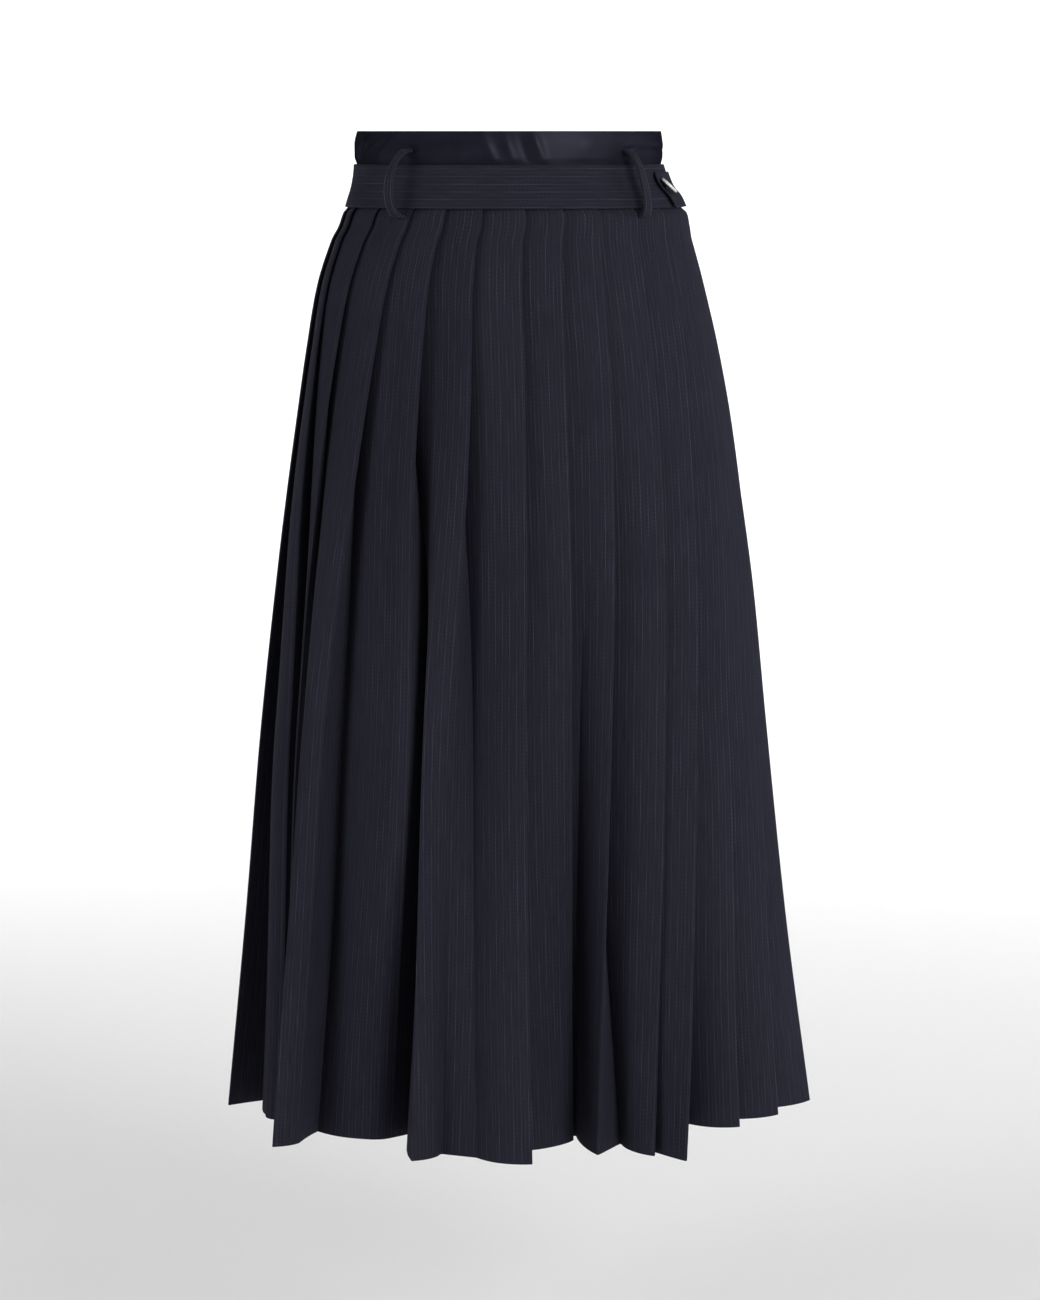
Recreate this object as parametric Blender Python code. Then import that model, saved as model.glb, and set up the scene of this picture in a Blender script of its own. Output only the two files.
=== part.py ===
"""Pleated midi skirt, worn and filled out: knife-pleated wool, waistband, satin facing, tab, button, loops.

Metres, +Z up, the front faces -Y. The origin is the middle of the waist hollow, halfway up the waistband.
Tables below are in millimetres and degrees, as a pattern cutter would note them.
An angle goes round the body: 0 is the centre front, 90 the wearer's left side (+X), 180 the centre back.
"""
from collections import namedtuple
from math import cos, degrees, exp, hypot, pi, radians, sin, sqrt

import bmesh
import bpy
from mathutils import Matrix, Vector

MM = 0.001

# ---------------------------------------------------------------- driving sizes, mm
CLOTH = 1.0             # wall of one layer of wool
LAYER = 1.6             # centre to centre of two pressed layers of a pleat
SEAM = 0.3              # gap between two pieces that are sewn together
HALF_FOLD = (CLOTH + LAYER) / 2   # a fold's middle lies this far inside the outside of its outer layer
BAND_WALL = 1.8         # the waistband is two layers of wool over a stiffener
SATIN_WALL = 1.0
SKIRT_TOP = -11.5       # the pleats end inside the waistband, above its lower edge
HEM = -788.0
BAND_TOP, BAND_FOOT = 17.6, -17.9
SATIN_TOP = 45.0
MEAN_RADIUS = 150.0     # turns a fold's angle into a width, near enough to space its layers

# ---------------------------------------------------------------- the general form, a row for each section
Section = namedtuple("Section", "z half_width front back centre_x")
SKIRT_FORM = [          # the outer folds lie on this form
    Section(-11.0, 137.4, 97.0, 97.4, -5.1),
    Section(-18.2, 139.9, 98.8, 99.6, -4.7),
    Section(-22.5, 144.0, 100.6, 101.6, -4.1),
    Section(-34.0, 147.4, 102.1, 104.2, -4.9),
    Section(-45.0, 151.3, 104.0, 107.0, -6.9),
    Section(-80.0, 162.0, 110.0, 117.0, -7.9),
    Section(-135.0, 173.7, 119.0, 131.0, -6.3),
    Section(-200.0, 184.9, 129.0, 143.0, -4.9),
    Section(-320.0, 201.7, 143.0, 156.0, -4.3),
    Section(-450.0, 215.7, 157.0, 168.0, -5.2),
    Section(-620.0, 233.0, 175.0, 182.0, -3.5),
    Section(HEM, 253.6, 195.0, 198.0, -0.2),
]
BAND_FORM = [           # outside of the waistband
    Section(20.0, 129.2, 92.5, 92.5, -9.7),
    Section(9.0, 131.4, 94.6, 94.6, -8.4),
    Section(0.0, 134.1, 97.0, 97.0, -7.3),
    Section(-9.0, 138.9, 99.4, 99.8, -5.1),
    Section(-20.0, 143.1, 101.4, 102.2, -4.3),
]
SATIN_FORM = [          # outside of the satin facing: it stands up, then turns in over the pleats' top ends
    Section(46.0, 126.8, 90.0, 90.0, -9.1),
    Section(34.0, 128.9, 91.2, 91.2, -9.6),
    Section(24.0, 128.8, 91.0, 91.0, -9.6),
    Section(16.0, 127.0, 90.0, 90.0, -9.2),
    Section(10.0, 128.2, 91.4, 91.4, -8.6),
    Section(0.0, 130.8, 92.8, 92.8, -7.2),
    Section(-6.0, 126.8, 85.6, 85.8, -5.7),
    Section(-24.0, 128.6, 87.6, 88.2, -4.4),
]

# ---------------------------------------------------------------- the pleats, a row for each fold
# Outer folds: the angle round the body at the waist, hip, knee and hem, and how far inside the form it lies.
Ridge = namedtuple("Ridge", "waist hip knee hem hip_in knee_in hem_in")
RIDGES = [
    Ridge(-87.5, -89.0, -89.5, -87.3, 0, 0, 1),
    Ridge(-72.5, -70.5, -64.5, -68.5, 1, 7, 33),
    Ridge(-53.8, -59.5, -61.0, -56.6, 1, 8, 15),
    Ridge(-36.5, -42.9, -47.3, -46.5, 0, 1, -1),
    Ridge(-23.6, -25.8, -23.8, -32.7, 0, 4, 56),
    Ridge(-10.8, -11.5, -14.5, -16.0, 0, 6, 19),
    Ridge(3.5, 2.9, 2.7, 2.2, 0, 0, -5),
    Ridge(16.5, 14.1, 14.7, 13.7, 5, 26, 65),
    Ridge(29.5, 26.1, 22.7, 15.8, 1, 8, 17),
    Ridge(44.5, 40.4, 36.0, 26.0, 0, 3, 1),
    Ridge(59.0, 51.5, 42.9, 29.5, -1, -7, -23),
    Ridge(73.5, 65.5, 59.1, 59.0, 1, 6, 36),
    Ridge(89.0, 83.0, 75.5, 76.0, 0, 3, 25),
]
# Inner folds: how many degrees each lies behind its outer fold, and how far inside the form.
Valley = namedtuple("Valley", "waist_lag hip_lag knee_lag hem_lag hip_in knee_in hem_in")
VALLEYS = [
    Valley(13.5, 9.0, 7.5, 7.0, 13, 26, 41),
    Valley(13.0, 9.0, 4.0, -2.0, 14, 36, 61),
    Valley(13.5, 7.0, -1.0, -1.0, 15, 34, 39),
    Valley(12.0, 7.0, 3.0, 5.5, 15, 30, 37),
    Valley(11.0, 5.0, -2.0, -3.5, 22, 56, 83),
    Valley(10.5, 4.0, -4.5, -7.5, 16, 23, 13),
    Valley(11.5, 9.5, 8.0, 6.0, 9, 20, 30),
    Valley(10.5, 9.0, 6.5, 2.5, 13, 44, 95),
    Valley(10.5, 7.0, 1.2, -8.0, 14, 34, 45),
    Valley(12.0, 10.0, 7.5, -0.5, 7, 14, 27),
    Valley(12.0, 9.0, 1.0, -23.5, 9, 26, 74),
    Valley(12.5, 10.0, 4.5, -6.0, 11, 30, 63),
    Valley(13.5, 10.0, 4.0, -6.0, 10, 26, 43),
]
# The crease pressed through a face where the fold above it lay: it stands out where its pleat opens.
Crest = namedtuple("Crest", "hip knee hem hip_in knee_in hem_in")
CRESTS = {
    1: Crest(-83.0, -73.2, -75.0, 5, 7, 29),
    3: Crest(-57.5, -53.2, -48.0, 8, -3, -22),
    4: Crest(-34.0, -29.3, -37.6, 8, 6, 42),
    5: Crest(-20.5, -20.0, -19.9, 11, 0, -6),
    8: Crest(18.0, 17.5, 15.8, 9, 33, 79),
}
LEVELS = [-12.0, -200.0, -450.0, HEM]   # heights of the waist, hip, knee and hem columns
SHARP = -0.2            # cosine: a sharper turn than this is a pressed fold
FLAT_WITHIN = 6.0       # degrees: a return that turns less than this is straight in plan
FACE_STEPS = 4          # straight steps from an inner fold to the next outer fold
RETURN_STEPS = 2        # and from an outer fold back to its inner fold
TUCK_PASSES = 3         # sinking one inner fold moves the crests that the next one must clear
NEAR_RIDGE = 0.9        # an inner fold this far along the next face no longer passes behind it
# A crest beside an inner fold is still closed over it, and opens as the fold nears the outer fold.
CLOSED_SHARE, OPENING_SHARE = 0.65, 0.2
# The hidden back repeats the depths of these front pleats, evenly spread round.
BACK_LIKE = [0, 7, 3, 9, 11, 6, 8, 2, 10, 5, 3]


def smooth_value(stops, values, at):
    """The value at one height on a curve through all the stops that never overshoots them."""
    if at >= stops[0]:
        return values[0]
    if at <= stops[-1]:
        return values[-1]
    steps = [(values[i + 1] - values[i]) / (stops[i + 1] - stops[i]) for i in range(len(stops) - 1)]
    slopes = [steps[0]]
    for before, after in zip(steps, steps[1:]):
        slopes.append(2 * before * after / (before + after) if before * after > 0 else 0.0)
    slopes.append(steps[-1])
    i = next(k for k in range(len(stops) - 1) if at >= stops[k + 1])
    width = stops[i + 1] - stops[i]
    t = (at - stops[i]) / width
    return (values[i] * (1 + 2 * t) * (1 - t) ** 2 + values[i + 1] * t * t * (3 - 2 * t)
            + slopes[i] * width * t * (1 - t) ** 2 - slopes[i + 1] * width * t * t * (1 - t))


def form_at(form, z):
    stops = [row.z for row in form]
    return Section(z, *(smooth_value(stops, [row[k] for row in form], z) for k in range(1, 5)))


def on_form(section, angle, inset=0.0):
    """Plan position, mm, at an angle round the body and a depth inside the form."""
    turn = radians(angle)
    depth = section.front if cos(turn) > 0 else section.back
    return (section.centre_x + (section.half_width - inset) * sin(turn), -(depth - inset) * cos(turn))


def fold_rows():
    """Every outer and inner fold all round: their angles and insets at the four table heights."""
    outer = [((r.waist, r.hip, r.knee, r.hem), (0.0, r.hip_in, r.knee_in, r.hem_in)) for r in RIDGES]
    inner = [((v.waist_lag, v.hip_lag, v.knee_lag, v.hem_lag), (v.hip_in, v.knee_in, v.hem_in))
             for v in VALLEYS]
    first, last = outer[0][0], outer[-1][0]
    for k, like in enumerate(BACK_LIKE):
        share = (k + 1) / (len(BACK_LIKE) + 1)
        outer.append((tuple(b + share * (a + 360 - b) for a, b in zip(first, last)), outer[like][1]))
        inner.append(inner[like])
    return outer, inner


OUTER_FOLDS, INNER_FOLDS = fold_rows()
PLEATS = len(OUTER_FOLDS)
FRONT_PLEATS = len(RIDGES)


def folds_at(z):
    """One level's folds in order, from the inner fold before the first pleat: (kind, angle, inset) rows."""
    rows = []
    for k in range(-1, PLEATS):
        turn = -360 if k < 0 else 0
        angles, insets = OUTER_FOLDS[k]
        lags, depths = INNER_FOLDS[k]
        angle = smooth_value(LEVELS, angles, z) + turn
        inset = smooth_value(LEVELS, insets, z) + HALF_FOLD
        behind = angle - smooth_value(LEVELS, lags, z)
        depth = smooth_value(LEVELS, (0,) + depths, z) + HALF_FOLD
        if k >= 0:
            rows.append(("outer", angle, inset))
        rows.append(("inner", behind, depth))
    for _ in range(TUCK_PASSES):
        rows = tuck_inner_folds(with_crests(rows, z))
    return with_crests(rows, z)


def with_crests(rows, z):
    """The same folds with the creases pressed through the middle of faces that stand out lower down."""
    creased = []
    for n, row in enumerate(rows):
        crest = CRESTS.get(n // 2) if row[0] == "outer" else None
        if crest:
            middle = (rows[n - 1][1] + row[1]) / 2
            straight = (rows[n - 1][2] + row[2]) / 2 - CLOTH / 2
            angle = smooth_value(LEVELS, (middle, crest.hip, crest.knee, crest.hem), z)
            inset = smooth_value(LEVELS, (straight, crest.hip_in, crest.knee_in, crest.hem_in), z)
            creased.append(("crest", angle, inset + CLOTH / 2))
        creased.append(row)
    return creased


def inset_below(rows, angle):
    """The least inset that keeps a fold clear of the run of folds outside it, at one angle."""
    for (_, first, start), (_, last, end) in zip(rows, rows[1:]):
        if first <= angle <= last:
            return start + (end - start) * (angle - first) / (last - first) + room(first - last, start - end)
    return 0.0


def inset_behind(ridge, angle, inset, ahead):
    """The inset that passes the next face behind an outer fold, and how far along that face the fold is."""
    share = (ridge[1] - angle) / (ahead[1] - angle)
    if not 0 < share < NEAR_RIDGE:
        return inset, share
    below = ridge[2] + room(ahead[1] - angle, inset - ahead[2])
    return (below - ahead[2] * share) / (1 - share), share


def room(angle, inset):
    """Depth that two layers take under a face which turns and sinks by these amounts, mm."""
    return 2 * LAYER * hypot(1.0, inset / (radians(angle) * MEAN_RADIUS))


def tuck_inner_folds(rows):
    """Sink each inner fold until its layers clear the face over it, and leave the crests out again."""
    outer = [i for i, row in enumerate(rows) if row[0] == "outer"]
    for n, i in enumerate(outer):
        face = rows[outer[n - 1] + 1 if n else 0:i + 1]
        angle, inset = rows[i + 1][1:]
        if angle >= rows[i][1]:
            continue
        inset = max(inset, inset_below(face, angle))
        if n + 1 < len(outer):
            to_crest, share = inset_behind(rows[i], angle, inset, rows[i + 2])
            to_ridge, _ = inset_behind(rows[i], angle, inset, rows[outer[n + 1]])
            straight = min(max((share - CLOSED_SHARE) / OPENING_SHARE, 0.0), 1.0)
            inset = max(inset, to_crest + straight * (to_ridge - to_crest))
        rows[i + 1] = ("inner", angle, inset)
    rows[0] = ("inner", rows[0][1], rows[-1][2])
    return [row for row in rows if row[0] != "crest"]


def unit(vector):
    size = hypot(*vector)
    return (vector[0] / size, vector[1] / size)


def across_fold(kind, before, tip, after):
    """Direction from the layer that comes in to the layer that leaves, at a fold's tip."""
    came = unit((tip[0] - before[0], tip[1] - before[1]))
    goes = unit((after[0] - tip[0], after[1] - tip[1]))
    if came[0] * goes[0] + came[1] * goes[1] > SHARP:
        return unit((came[0] + goes[0], came[1] + goes[1]))
    point = unit((came[0] - goes[0], came[1] - goes[1]))
    return (-point[1], point[0]) if kind == "outer" else (point[1], -point[0])


def cloth_line(z):
    """The wool's centre line round one level, mm, and where in it the panels part, at inner folds."""
    section = form_at(SKIRT_FORM, z)
    folds = folds_at(z)
    line, places = [], []
    for (kind, angle, inset), (next_kind, next_angle, next_inset) in zip(folds, folds[1:]):
        steps = RETURN_STEPS if kind == "outer" else FACE_STEPS
        if "crest" in (kind, next_kind):
            steps = FACE_STEPS // 2
        places.append((len(line), kind))
        start, end = on_form(section, angle, inset), on_form(section, next_angle, next_inset)
        flat = min(max(1 - (angle - next_angle) / FLAT_WITHIN, 0.0), 1.0) if kind == "outer" else 0.0
        for i in range(steps):
            share = i / steps
            bent = on_form(section, angle + share * (next_angle - angle),
                           inset + share * (next_inset - inset))
            line.append(tuple(b + flat * (s + share * (e - s) - b) for b, s, e in zip(bent, start, end)))
    places.append((len(line), "inner"))
    line.append(on_form(section, folds[-1][1], folds[-1][2]))
    return turn_folds(line, places)


def turn_folds(line, places):
    """Give each fold its two corners, a layer apart, and list the first corner of each inner fold."""
    folds = [(i, kind) for i, kind in places if kind != "crest"]
    aside = []
    for i, kind in folds:
        before = line[i - 1] if i else line[-2]
        after = line[i + 1] if i + 1 < len(line) else line[1]
        step = across_fold(kind, before, line[i], after)
        aside.append((step[0] * LAYER / 2, step[1] * LAYER / 2))
    turned, inner = [], []
    for n, (i, kind) in enumerate(folds):
        if kind == "inner":
            inner.append(len(turned))
        turned.append((line[i][0] - aside[n][0], line[i][1] - aside[n][1]))
        turned.append((line[i][0] + aside[n][0], line[i][1] + aside[n][1]))
        end = folds[n + 1][0] if n + 1 < len(folds) else i
        for j in range(i + 1, end):        # the cloth between two folds moves with their corners
            share = (j - i) / (end - i)
            turned.append(tuple(line[j][axis] + (1 - share) * aside[n][axis] - share * aside[n + 1][axis]
                                for axis in (0, 1)))
    return turned, inner


# ---------------------------------------------------------------- solids
RINGS = [SKIRT_TOP, -18.2, -22.5, -34.0, -45.0, -80.0, -135.0, -200.0, -320.0, -450.0, -620.0, HEM]
BAND_ROWS = [BAND_TOP, 9.0, 0.0, -9.0, BAND_FOOT]
SATIN_ROWS = [SATIN_TOP, 38.0, 30.0, 24.0, 16.0, 10.0, 0.0, -6.0, -24.0]
SIDES = {"front": (-90.0, 90.0), "back": (90.0, 270.0)}
BAND_STEP = 6.0         # degrees between a band's columns
WOOL = ((0.031, 0.030, 0.042), 0.85)      # colour and roughness
SATIN = ((0.019, 0.020, 0.034), 0.38)
PEARL = ((0.74, 0.72, 0.70), 0.25)

# Shallow waves of the satin's free edge: centre and half breadth in degrees, and how far out each stands.
Ripple = namedtuple("Ripple", "angle breadth out")
RIPPLES = [
    Ripple(-60, 9, 1.5), Ripple(-40, 7, -1.2), Ripple(-20, 8, 1.0), Ripple(6, 8, 1.3), Ripple(29, 8, 1.2),
    Ripple(48, 7, -1.3), Ripple(68, 8, 1.2), Ripple(102, 9, -1.0), Ripple(126, 8, 1.1), Ripple(150, 9, 1.2),
    Ripple(176, 8, -0.8), Ripple(199, 8, 1.2), Ripple(221, 7, -1.1), Ripple(246, 9, 1.1),
]
RIPPLE_FOOT, RIPPLE_RISE = 18.0, 10.0     # they begin above the waistband and are full this much higher

TAB_WALL = 1.6
TAB_TOP, TAB_FOOT = 11.5, -17.5
TAB_TIP = (61.5, 66.0)  # angle of the free end at its top and foot
TAB_ROOT = 90.0         # it grows out of the back waistband at the side seam
TAB_CORNER = 10.0       # radius of the free end's upper corner
TAB_LIFT, TAB_SPRING = 3.0, 16.0   # the free end stands off the band by this much more, over this length
TAB_ROWS = [TAB_TOP, *BAND_ROWS[1:-1], TAB_FOOT]   # the band's own heights, so both bend alike
TAB_STEP = 9.0          # between its columns, beyond the rounded corner
CORNER_STEPS = 4

BUTTON_RADIUS = 8.5
BUTTON_ANGLE, BUTTON_Z = 67.5, -3.5
BUTTON_TURN = 20.0      # degrees: it leans out with the tab's free end
BUTTON_TIP = 14.0       # degrees: and its face looks up more than the tab does
BUTTON_CLEAR = 0.8      # its lowest edge stands this far off the tab, less what the tab curves up to it
BUTTON_PROFILE = [(7.5, 0.0), (8.5, 0.7), (8.5, 1.6), (7.7, 2.3), (6.5, 2.3), (5.6, 1.6)]
HOLE_RADIUS, HOLE_OFFSET = 0.9, 1.6
HOLE_SIDES = 10
DRILL_LENGTH = 12.0
ROUND_STEPS = 28

# Belt loops: the angles and heights of their two ends, and how far they stand out between them. swing turns
# the whole bow to one side. The strip itself twists: by turn_mid at its middle, and by turn_top more in its
# upper half. All three are in degrees.
Loop = namedtuple("Loop", "top_angle foot_angle top foot bow swing turn_mid turn_top")
LOOPS = {
    "loop_front_right": Loop(-39.4, -40.0, 29.0, -24.5, 18.0, -13.0, -3.0, -30.0),
    "loop_front_left": Loop(49.0, 46.4, 28.5, -23.7, 13.0, -4.0, 11.0, 14.0),
    "loop_back_left": Loop(138.0, 139.5, 28.0, -24.5, 16.0, 5.0, 4.0, -12.0),
    "loop_back_right": Loop(222.0, 221.0, 28.0, -24.5, 16.5, -6.0, -5.0, 10.0),
}
LOOP_WIDTH, LOOP_WALL, LOOP_CORNER = 9.2, 2.6, 0.7
LOOP_STEPS = 15
LOOP_FULL = 0.85        # power: fuller than a plain arc
LOOP_CLEAR = SEAM + 0.3 # between a loop's end and the cloth that it is sewn to
LOOP_REST = 2.4         # degrees to each side over which a loop's end clears that cloth

SOFT_ANGLE = 35.0       # degrees: a sharper turn between faces shows as an edge
LEAST_MITRE = 0.6       # cosine: keeps the corners of a wall from growing long spikes


def clear_scene():
    for item in list(bpy.data.objects):
        bpy.data.objects.remove(item, do_unlink=True)


def make_material(name, looks):
    colour, roughness = looks
    material = bpy.data.materials.new(name)
    material.use_nodes = True
    shader = material.node_tree.nodes["Principled BSDF"]
    shader.inputs["Base Color"].default_value = (*colour, 1.0)
    shader.inputs["Roughness"].default_value = roughness
    shader.inputs["Metallic"].default_value = 0.0
    return material


def make_object(name, bm, looks):
    """Put a finished mesh, given in millimetres, into the scene under its own name and material."""
    bmesh.ops.scale(bm, vec=(MM, MM, MM), verts=bm.verts)
    bmesh.ops.recalc_face_normals(bm, faces=bm.faces)
    mesh = bpy.data.meshes.new(name)
    bm.to_mesh(mesh)
    bm.free()
    mesh.materials.append(make_material(name, looks))
    mesh.shade_smooth()
    mesh.set_sharp_from_angle(angle=radians(SOFT_ANGLE))
    item = bpy.data.objects.new(name, mesh)
    bpy.context.scene.collection.objects.link(item)
    return item


def wall_pairs(line, wall):
    """Both faces of a wall along a plan line: (outer, inner) positions, mitred at its corners."""
    pairs = []
    for i, (x, y) in enumerate(line):
        near = zip(line[max(i - 1, 0):i + 1], line[max(i, 1):i + 2])
        runs = [unit((b[0] - a[0], b[1] - a[1])) for a, b in near]
        mean = unit((sum(run[1] for run in runs), -sum(run[0] for run in runs)))
        square = mean[0] * runs[0][1] - mean[1] * runs[0][0]
        reach = wall / 2 / max(square, LEAST_MITRE)
        pairs.append(((x + reach * mean[0], y + reach * mean[1]), (x - reach * mean[0], y - reach * mean[1])))
    return pairs


def add_sheet(bm, outer, inner):
    """Close a wall between two grids of points: its faces, its top and bottom edges and its two ends."""
    grids = [[[bm.verts.new(spot) for spot in row] for row in grid] for grid in (outer, inner)]
    rows, columns = len(outer), len(outer[0])
    for r in range(rows - 1):
        for i in range(columns - 1):
            a, b = outer[r][i], outer[r][i + 1]
            forward = a[0] * b[1] - a[1] * b[0] > 0
            for grid in grids:
                add_split_quad(bm, (grid[r][i], grid[r + 1][i], grid[r + 1][i + 1], grid[r][i + 1]), forward)
    out, back = grids
    for r in (0, rows - 1):
        for i in range(columns - 1):
            bm.faces.new((out[r][i], out[r][i + 1], back[r][i + 1], back[r][i]))
    for i in (0, columns - 1):
        for r in range(rows - 1):
            bm.faces.new((out[r][i], out[r + 1][i], back[r + 1][i], back[r][i]))


def add_split_quad(bm, corners, forward):
    """Two triangles, split the same way in space whichever way the cloth runs, so layers stay apart."""
    a, b, c, d = corners
    for three in ((a, b, c), (a, c, d)) if forward else ((a, b, d), (b, c, d)):
        bm.faces.new(three)


def skirt_panel(name, first_fold, last_fold):
    """One width of pleated wool between two inner folds."""
    outer, inner = [], []
    for z in RINGS:
        line, folds = cloth_line(z)
        pairs = wall_pairs(line[folds[first_fold] + 1:folds[last_fold] + 1], CLOTH)
        outer.append([(*pair[0], z) for pair in pairs])
        inner.append([(*pair[1], z) for pair in pairs])
    bm = bmesh.new()
    add_sheet(bm, outer, inner)
    return make_object(name, bm, WOOL)


def band_angles(side, half_width):
    """A band's columns from one side seam to the other, half a seam short at each."""
    start, end = SIDES[side]
    trim = degrees(SEAM / 2 / half_width)
    count = round((end - start) / BAND_STEP)
    return [start + trim + (end - start - 2 * trim) * i / count for i in range(count + 1)]


def ripple_out(angle, z):
    """How far the satin stands out of its form."""
    rise = min(max((z - RIPPLE_FOOT) / RIPPLE_RISE, 0.0), 1.0)
    near = [((angle - r.angle + 180) % 360 - 180) / r.breadth for r in RIPPLES]
    return rise * sum(r.out * exp(-2 * apart * apart) for r, apart in zip(RIPPLES, near))


def band(name, side, form, rows, wall, looks, out=lambda angle, z: 0.0):
    """Half of a band that goes round the waist."""
    outer, inner = [], []
    for z in rows:
        section = form_at(form, z)
        angles = band_angles(side, section.half_width)
        outer.append([(*on_form(section, a, -out(a, z)), z) for a in angles])
        inner.append([(*on_form(section, a, wall - out(a, z)), z) for a in angles])
    bm = bmesh.new()
    add_sheet(bm, outer, inner)
    return make_object(name, bm, looks)


def tab_gap(reach):
    """Gap between the tab and the band at a distance from the tab's free end, mm."""
    return SEAM + TAB_LIFT * max(0.0, 1 - reach / TAB_SPRING) ** 2


def button_tab():
    """The end of the back waistband, lapped over the front one, with one rounded corner."""
    length = radians(TAB_ROOT - TAB_TIP[0]) * form_at(BAND_FORM, 0).half_width
    corner = [TAB_CORNER * (1 - cos(pi / 2 * turn / CORNER_STEPS)) for turn in range(CORNER_STEPS + 1)]
    count = round((length - TAB_CORNER) / TAB_STEP)
    reaches = corner + [TAB_CORNER + (length - TAB_CORNER) * (i + 1) / count for i in range(count)]
    outer, inner = [], []
    for height in TAB_ROWS:
        share = (TAB_TOP - height) / (TAB_TOP - TAB_FOOT)
        near, far = [], []
        for reach in reaches:
            short = max(0.0, TAB_CORNER - reach)
            top = TAB_TOP - (TAB_CORNER - sqrt(max(TAB_CORNER ** 2 - short ** 2, 0.0)))
            z = top + (TAB_FOOT - top) * share
            section = form_at(BAND_FORM, z)
            tip = TAB_TIP[0] + (TAB_TIP[1] - TAB_TIP[0]) * (TAB_TOP - z) / (TAB_TOP - TAB_FOOT)
            angle = tip + (TAB_ROOT - tip) * min(reach / length, 1.0)
            gap = tab_gap(reach)
            near.append((*on_form(section, angle, -gap), z))
            far.append((*on_form(section, angle, -gap - TAB_WALL), z))
        inner.append(near)
        outer.append(far)
    bm = bmesh.new()
    add_sheet(bm, outer, inner)
    return make_object("button_tab", bm, WOOL)


def outward(form, angle, z):
    """Direction square to a form's surface, outward."""
    def spot(turn, height):
        return Vector((*on_form(form_at(form, height), turn), height))
    round_it = spot(angle + 1, z) - spot(angle - 1, z)
    down_it = spot(angle, z - 2) - spot(angle, z + 2)
    return down_it.cross(round_it).normalized()


def button_place():
    """Where the button lies on the tab, in metres: it leans out with the free end, and tips back."""
    normal = outward(BAND_FORM, BUTTON_ANGLE, BUTTON_Z)
    surface = Vector((*on_form(form_at(BAND_FORM, BUTTON_Z), BUTTON_ANGLE), BUTTON_Z))
    off = tab_gap(BUTTON_RADIUS) + TAB_WALL + BUTTON_CLEAR + BUTTON_RADIUS * sin(radians(BUTTON_TIP))
    round_it = Vector((0.0, 0.0, 1.0)).cross(normal).normalized()
    upward = normal.cross(round_it)
    lean = Matrix.Rotation(radians(BUTTON_TURN), 3, upward) @ Matrix.Rotation(-radians(BUTTON_TIP), 3, round_it)
    turn = lean @ Matrix((round_it, upward, normal)).transposed()
    return Matrix.Translation((surface + normal * off) * MM) @ turn.to_4x4()


def button():
    """A dished round button with four holes."""
    bm = bmesh.new()
    rings = []
    turns = [2 * pi * i / ROUND_STEPS for i in range(ROUND_STEPS)]
    for radius, height in BUTTON_PROFILE:
        rings.append([bm.verts.new((radius * cos(turn), radius * sin(turn), height)) for turn in turns])
    for low, high in zip(rings, rings[1:]):
        for i in range(ROUND_STEPS):
            j = (i + 1) % ROUND_STEPS
            bm.faces.new((low[i], low[j], high[j], high[i]))
    bm.faces.new(list(reversed(rings[0])))
    bm.faces.new(rings[-1])
    item = make_object("button", bm, PEARL)
    item.matrix_world = button_place()
    for k in range(4):
        turn = pi / 4 + k * pi / 2
        drill_hole(item, (HOLE_OFFSET * sqrt(2) * cos(turn), HOLE_OFFSET * sqrt(2) * sin(turn)))
    return item


def drill_hole(item, place):
    """Cut one round hole through a piece, at a place in its own plane."""
    bm = bmesh.new()
    bmesh.ops.create_cone(bm, cap_ends=True, segments=HOLE_SIDES, radius1=HOLE_RADIUS, radius2=HOLE_RADIUS,
                          depth=DRILL_LENGTH)
    bmesh.ops.translate(bm, vec=(*place, 0.0), verts=bm.verts)
    drill = make_object("hole_cutter", bm, PEARL)
    drill.parent = item
    drill.hide_render = True
    drill.display_type = "WIRE"
    cut = item.modifiers.new("hole", "BOOLEAN")
    cut.operation = "DIFFERENCE"
    cut.solver = "EXACT"
    cut.object = drill


def skirt_inset(angle, z, spread):
    """How deep the outermost layer of wool lies inside the form, at its highest over a small width."""
    folds = folds_at(z)
    turned = (angle + 180) % 360 - 180 if angle > folds[-1][1] else angle
    insets = []
    for (_, first, start), (_, last, end) in zip(folds, folds[1:]):
        for spot in (turned - spread, turned, turned + spread):
            if min(first, last) <= spot <= max(first, last):
                insets.append(start + (end - start) * (spot - first) / (last - first) - HALF_FOLD)
    return max(min(insets), 0.0)


def loop_path(loop):
    """A loop's middle line, the direction of its width at each step, and the way that it sets out."""
    satin, wool = form_at(SATIN_FORM, loop.top), form_at(SKIRT_FORM, loop.foot)
    ripple = max(ripple_out(loop.top_angle + aside, loop.top) for aside in (-LOOP_REST, 0.0, LOOP_REST))
    top = Vector((*on_form(satin, loop.top_angle, -LOOP_CLEAR - ripple), loop.top))
    sink = skirt_inset(loop.foot_angle, loop.foot, LOOP_REST)
    foot = Vector((*on_form(wool, loop.foot_angle, sink - LOOP_CLEAR), loop.foot))
    square = outward(BAND_FORM, (loop.top_angle + loop.foot_angle) / 2, 0.0)
    square.z = 0.0
    square.normalize()
    path, widths = [], []
    for i in range(LOOP_STEPS + 1):
        turn = pi * i / LOOP_STEPS
        # Both ends lie flat on what they are sewn to, and the strip twists between them.
        out = Matrix.Rotation(radians(loop.swing) * sin(turn), 3, "Z") @ square
        path.append(top.lerp(foot, (1 - cos(turn)) / 2) + out * loop.bow * sin(turn) ** LOOP_FULL)
        twist = loop.turn_mid * sin(turn) + loop.turn_top * max(sin(2 * turn), 0.0)
        widths.append(Vector((0.0, 0.0, 1.0)).cross(Matrix.Rotation(radians(twist), 3, "Z") @ square))
    return path, widths, square


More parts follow.
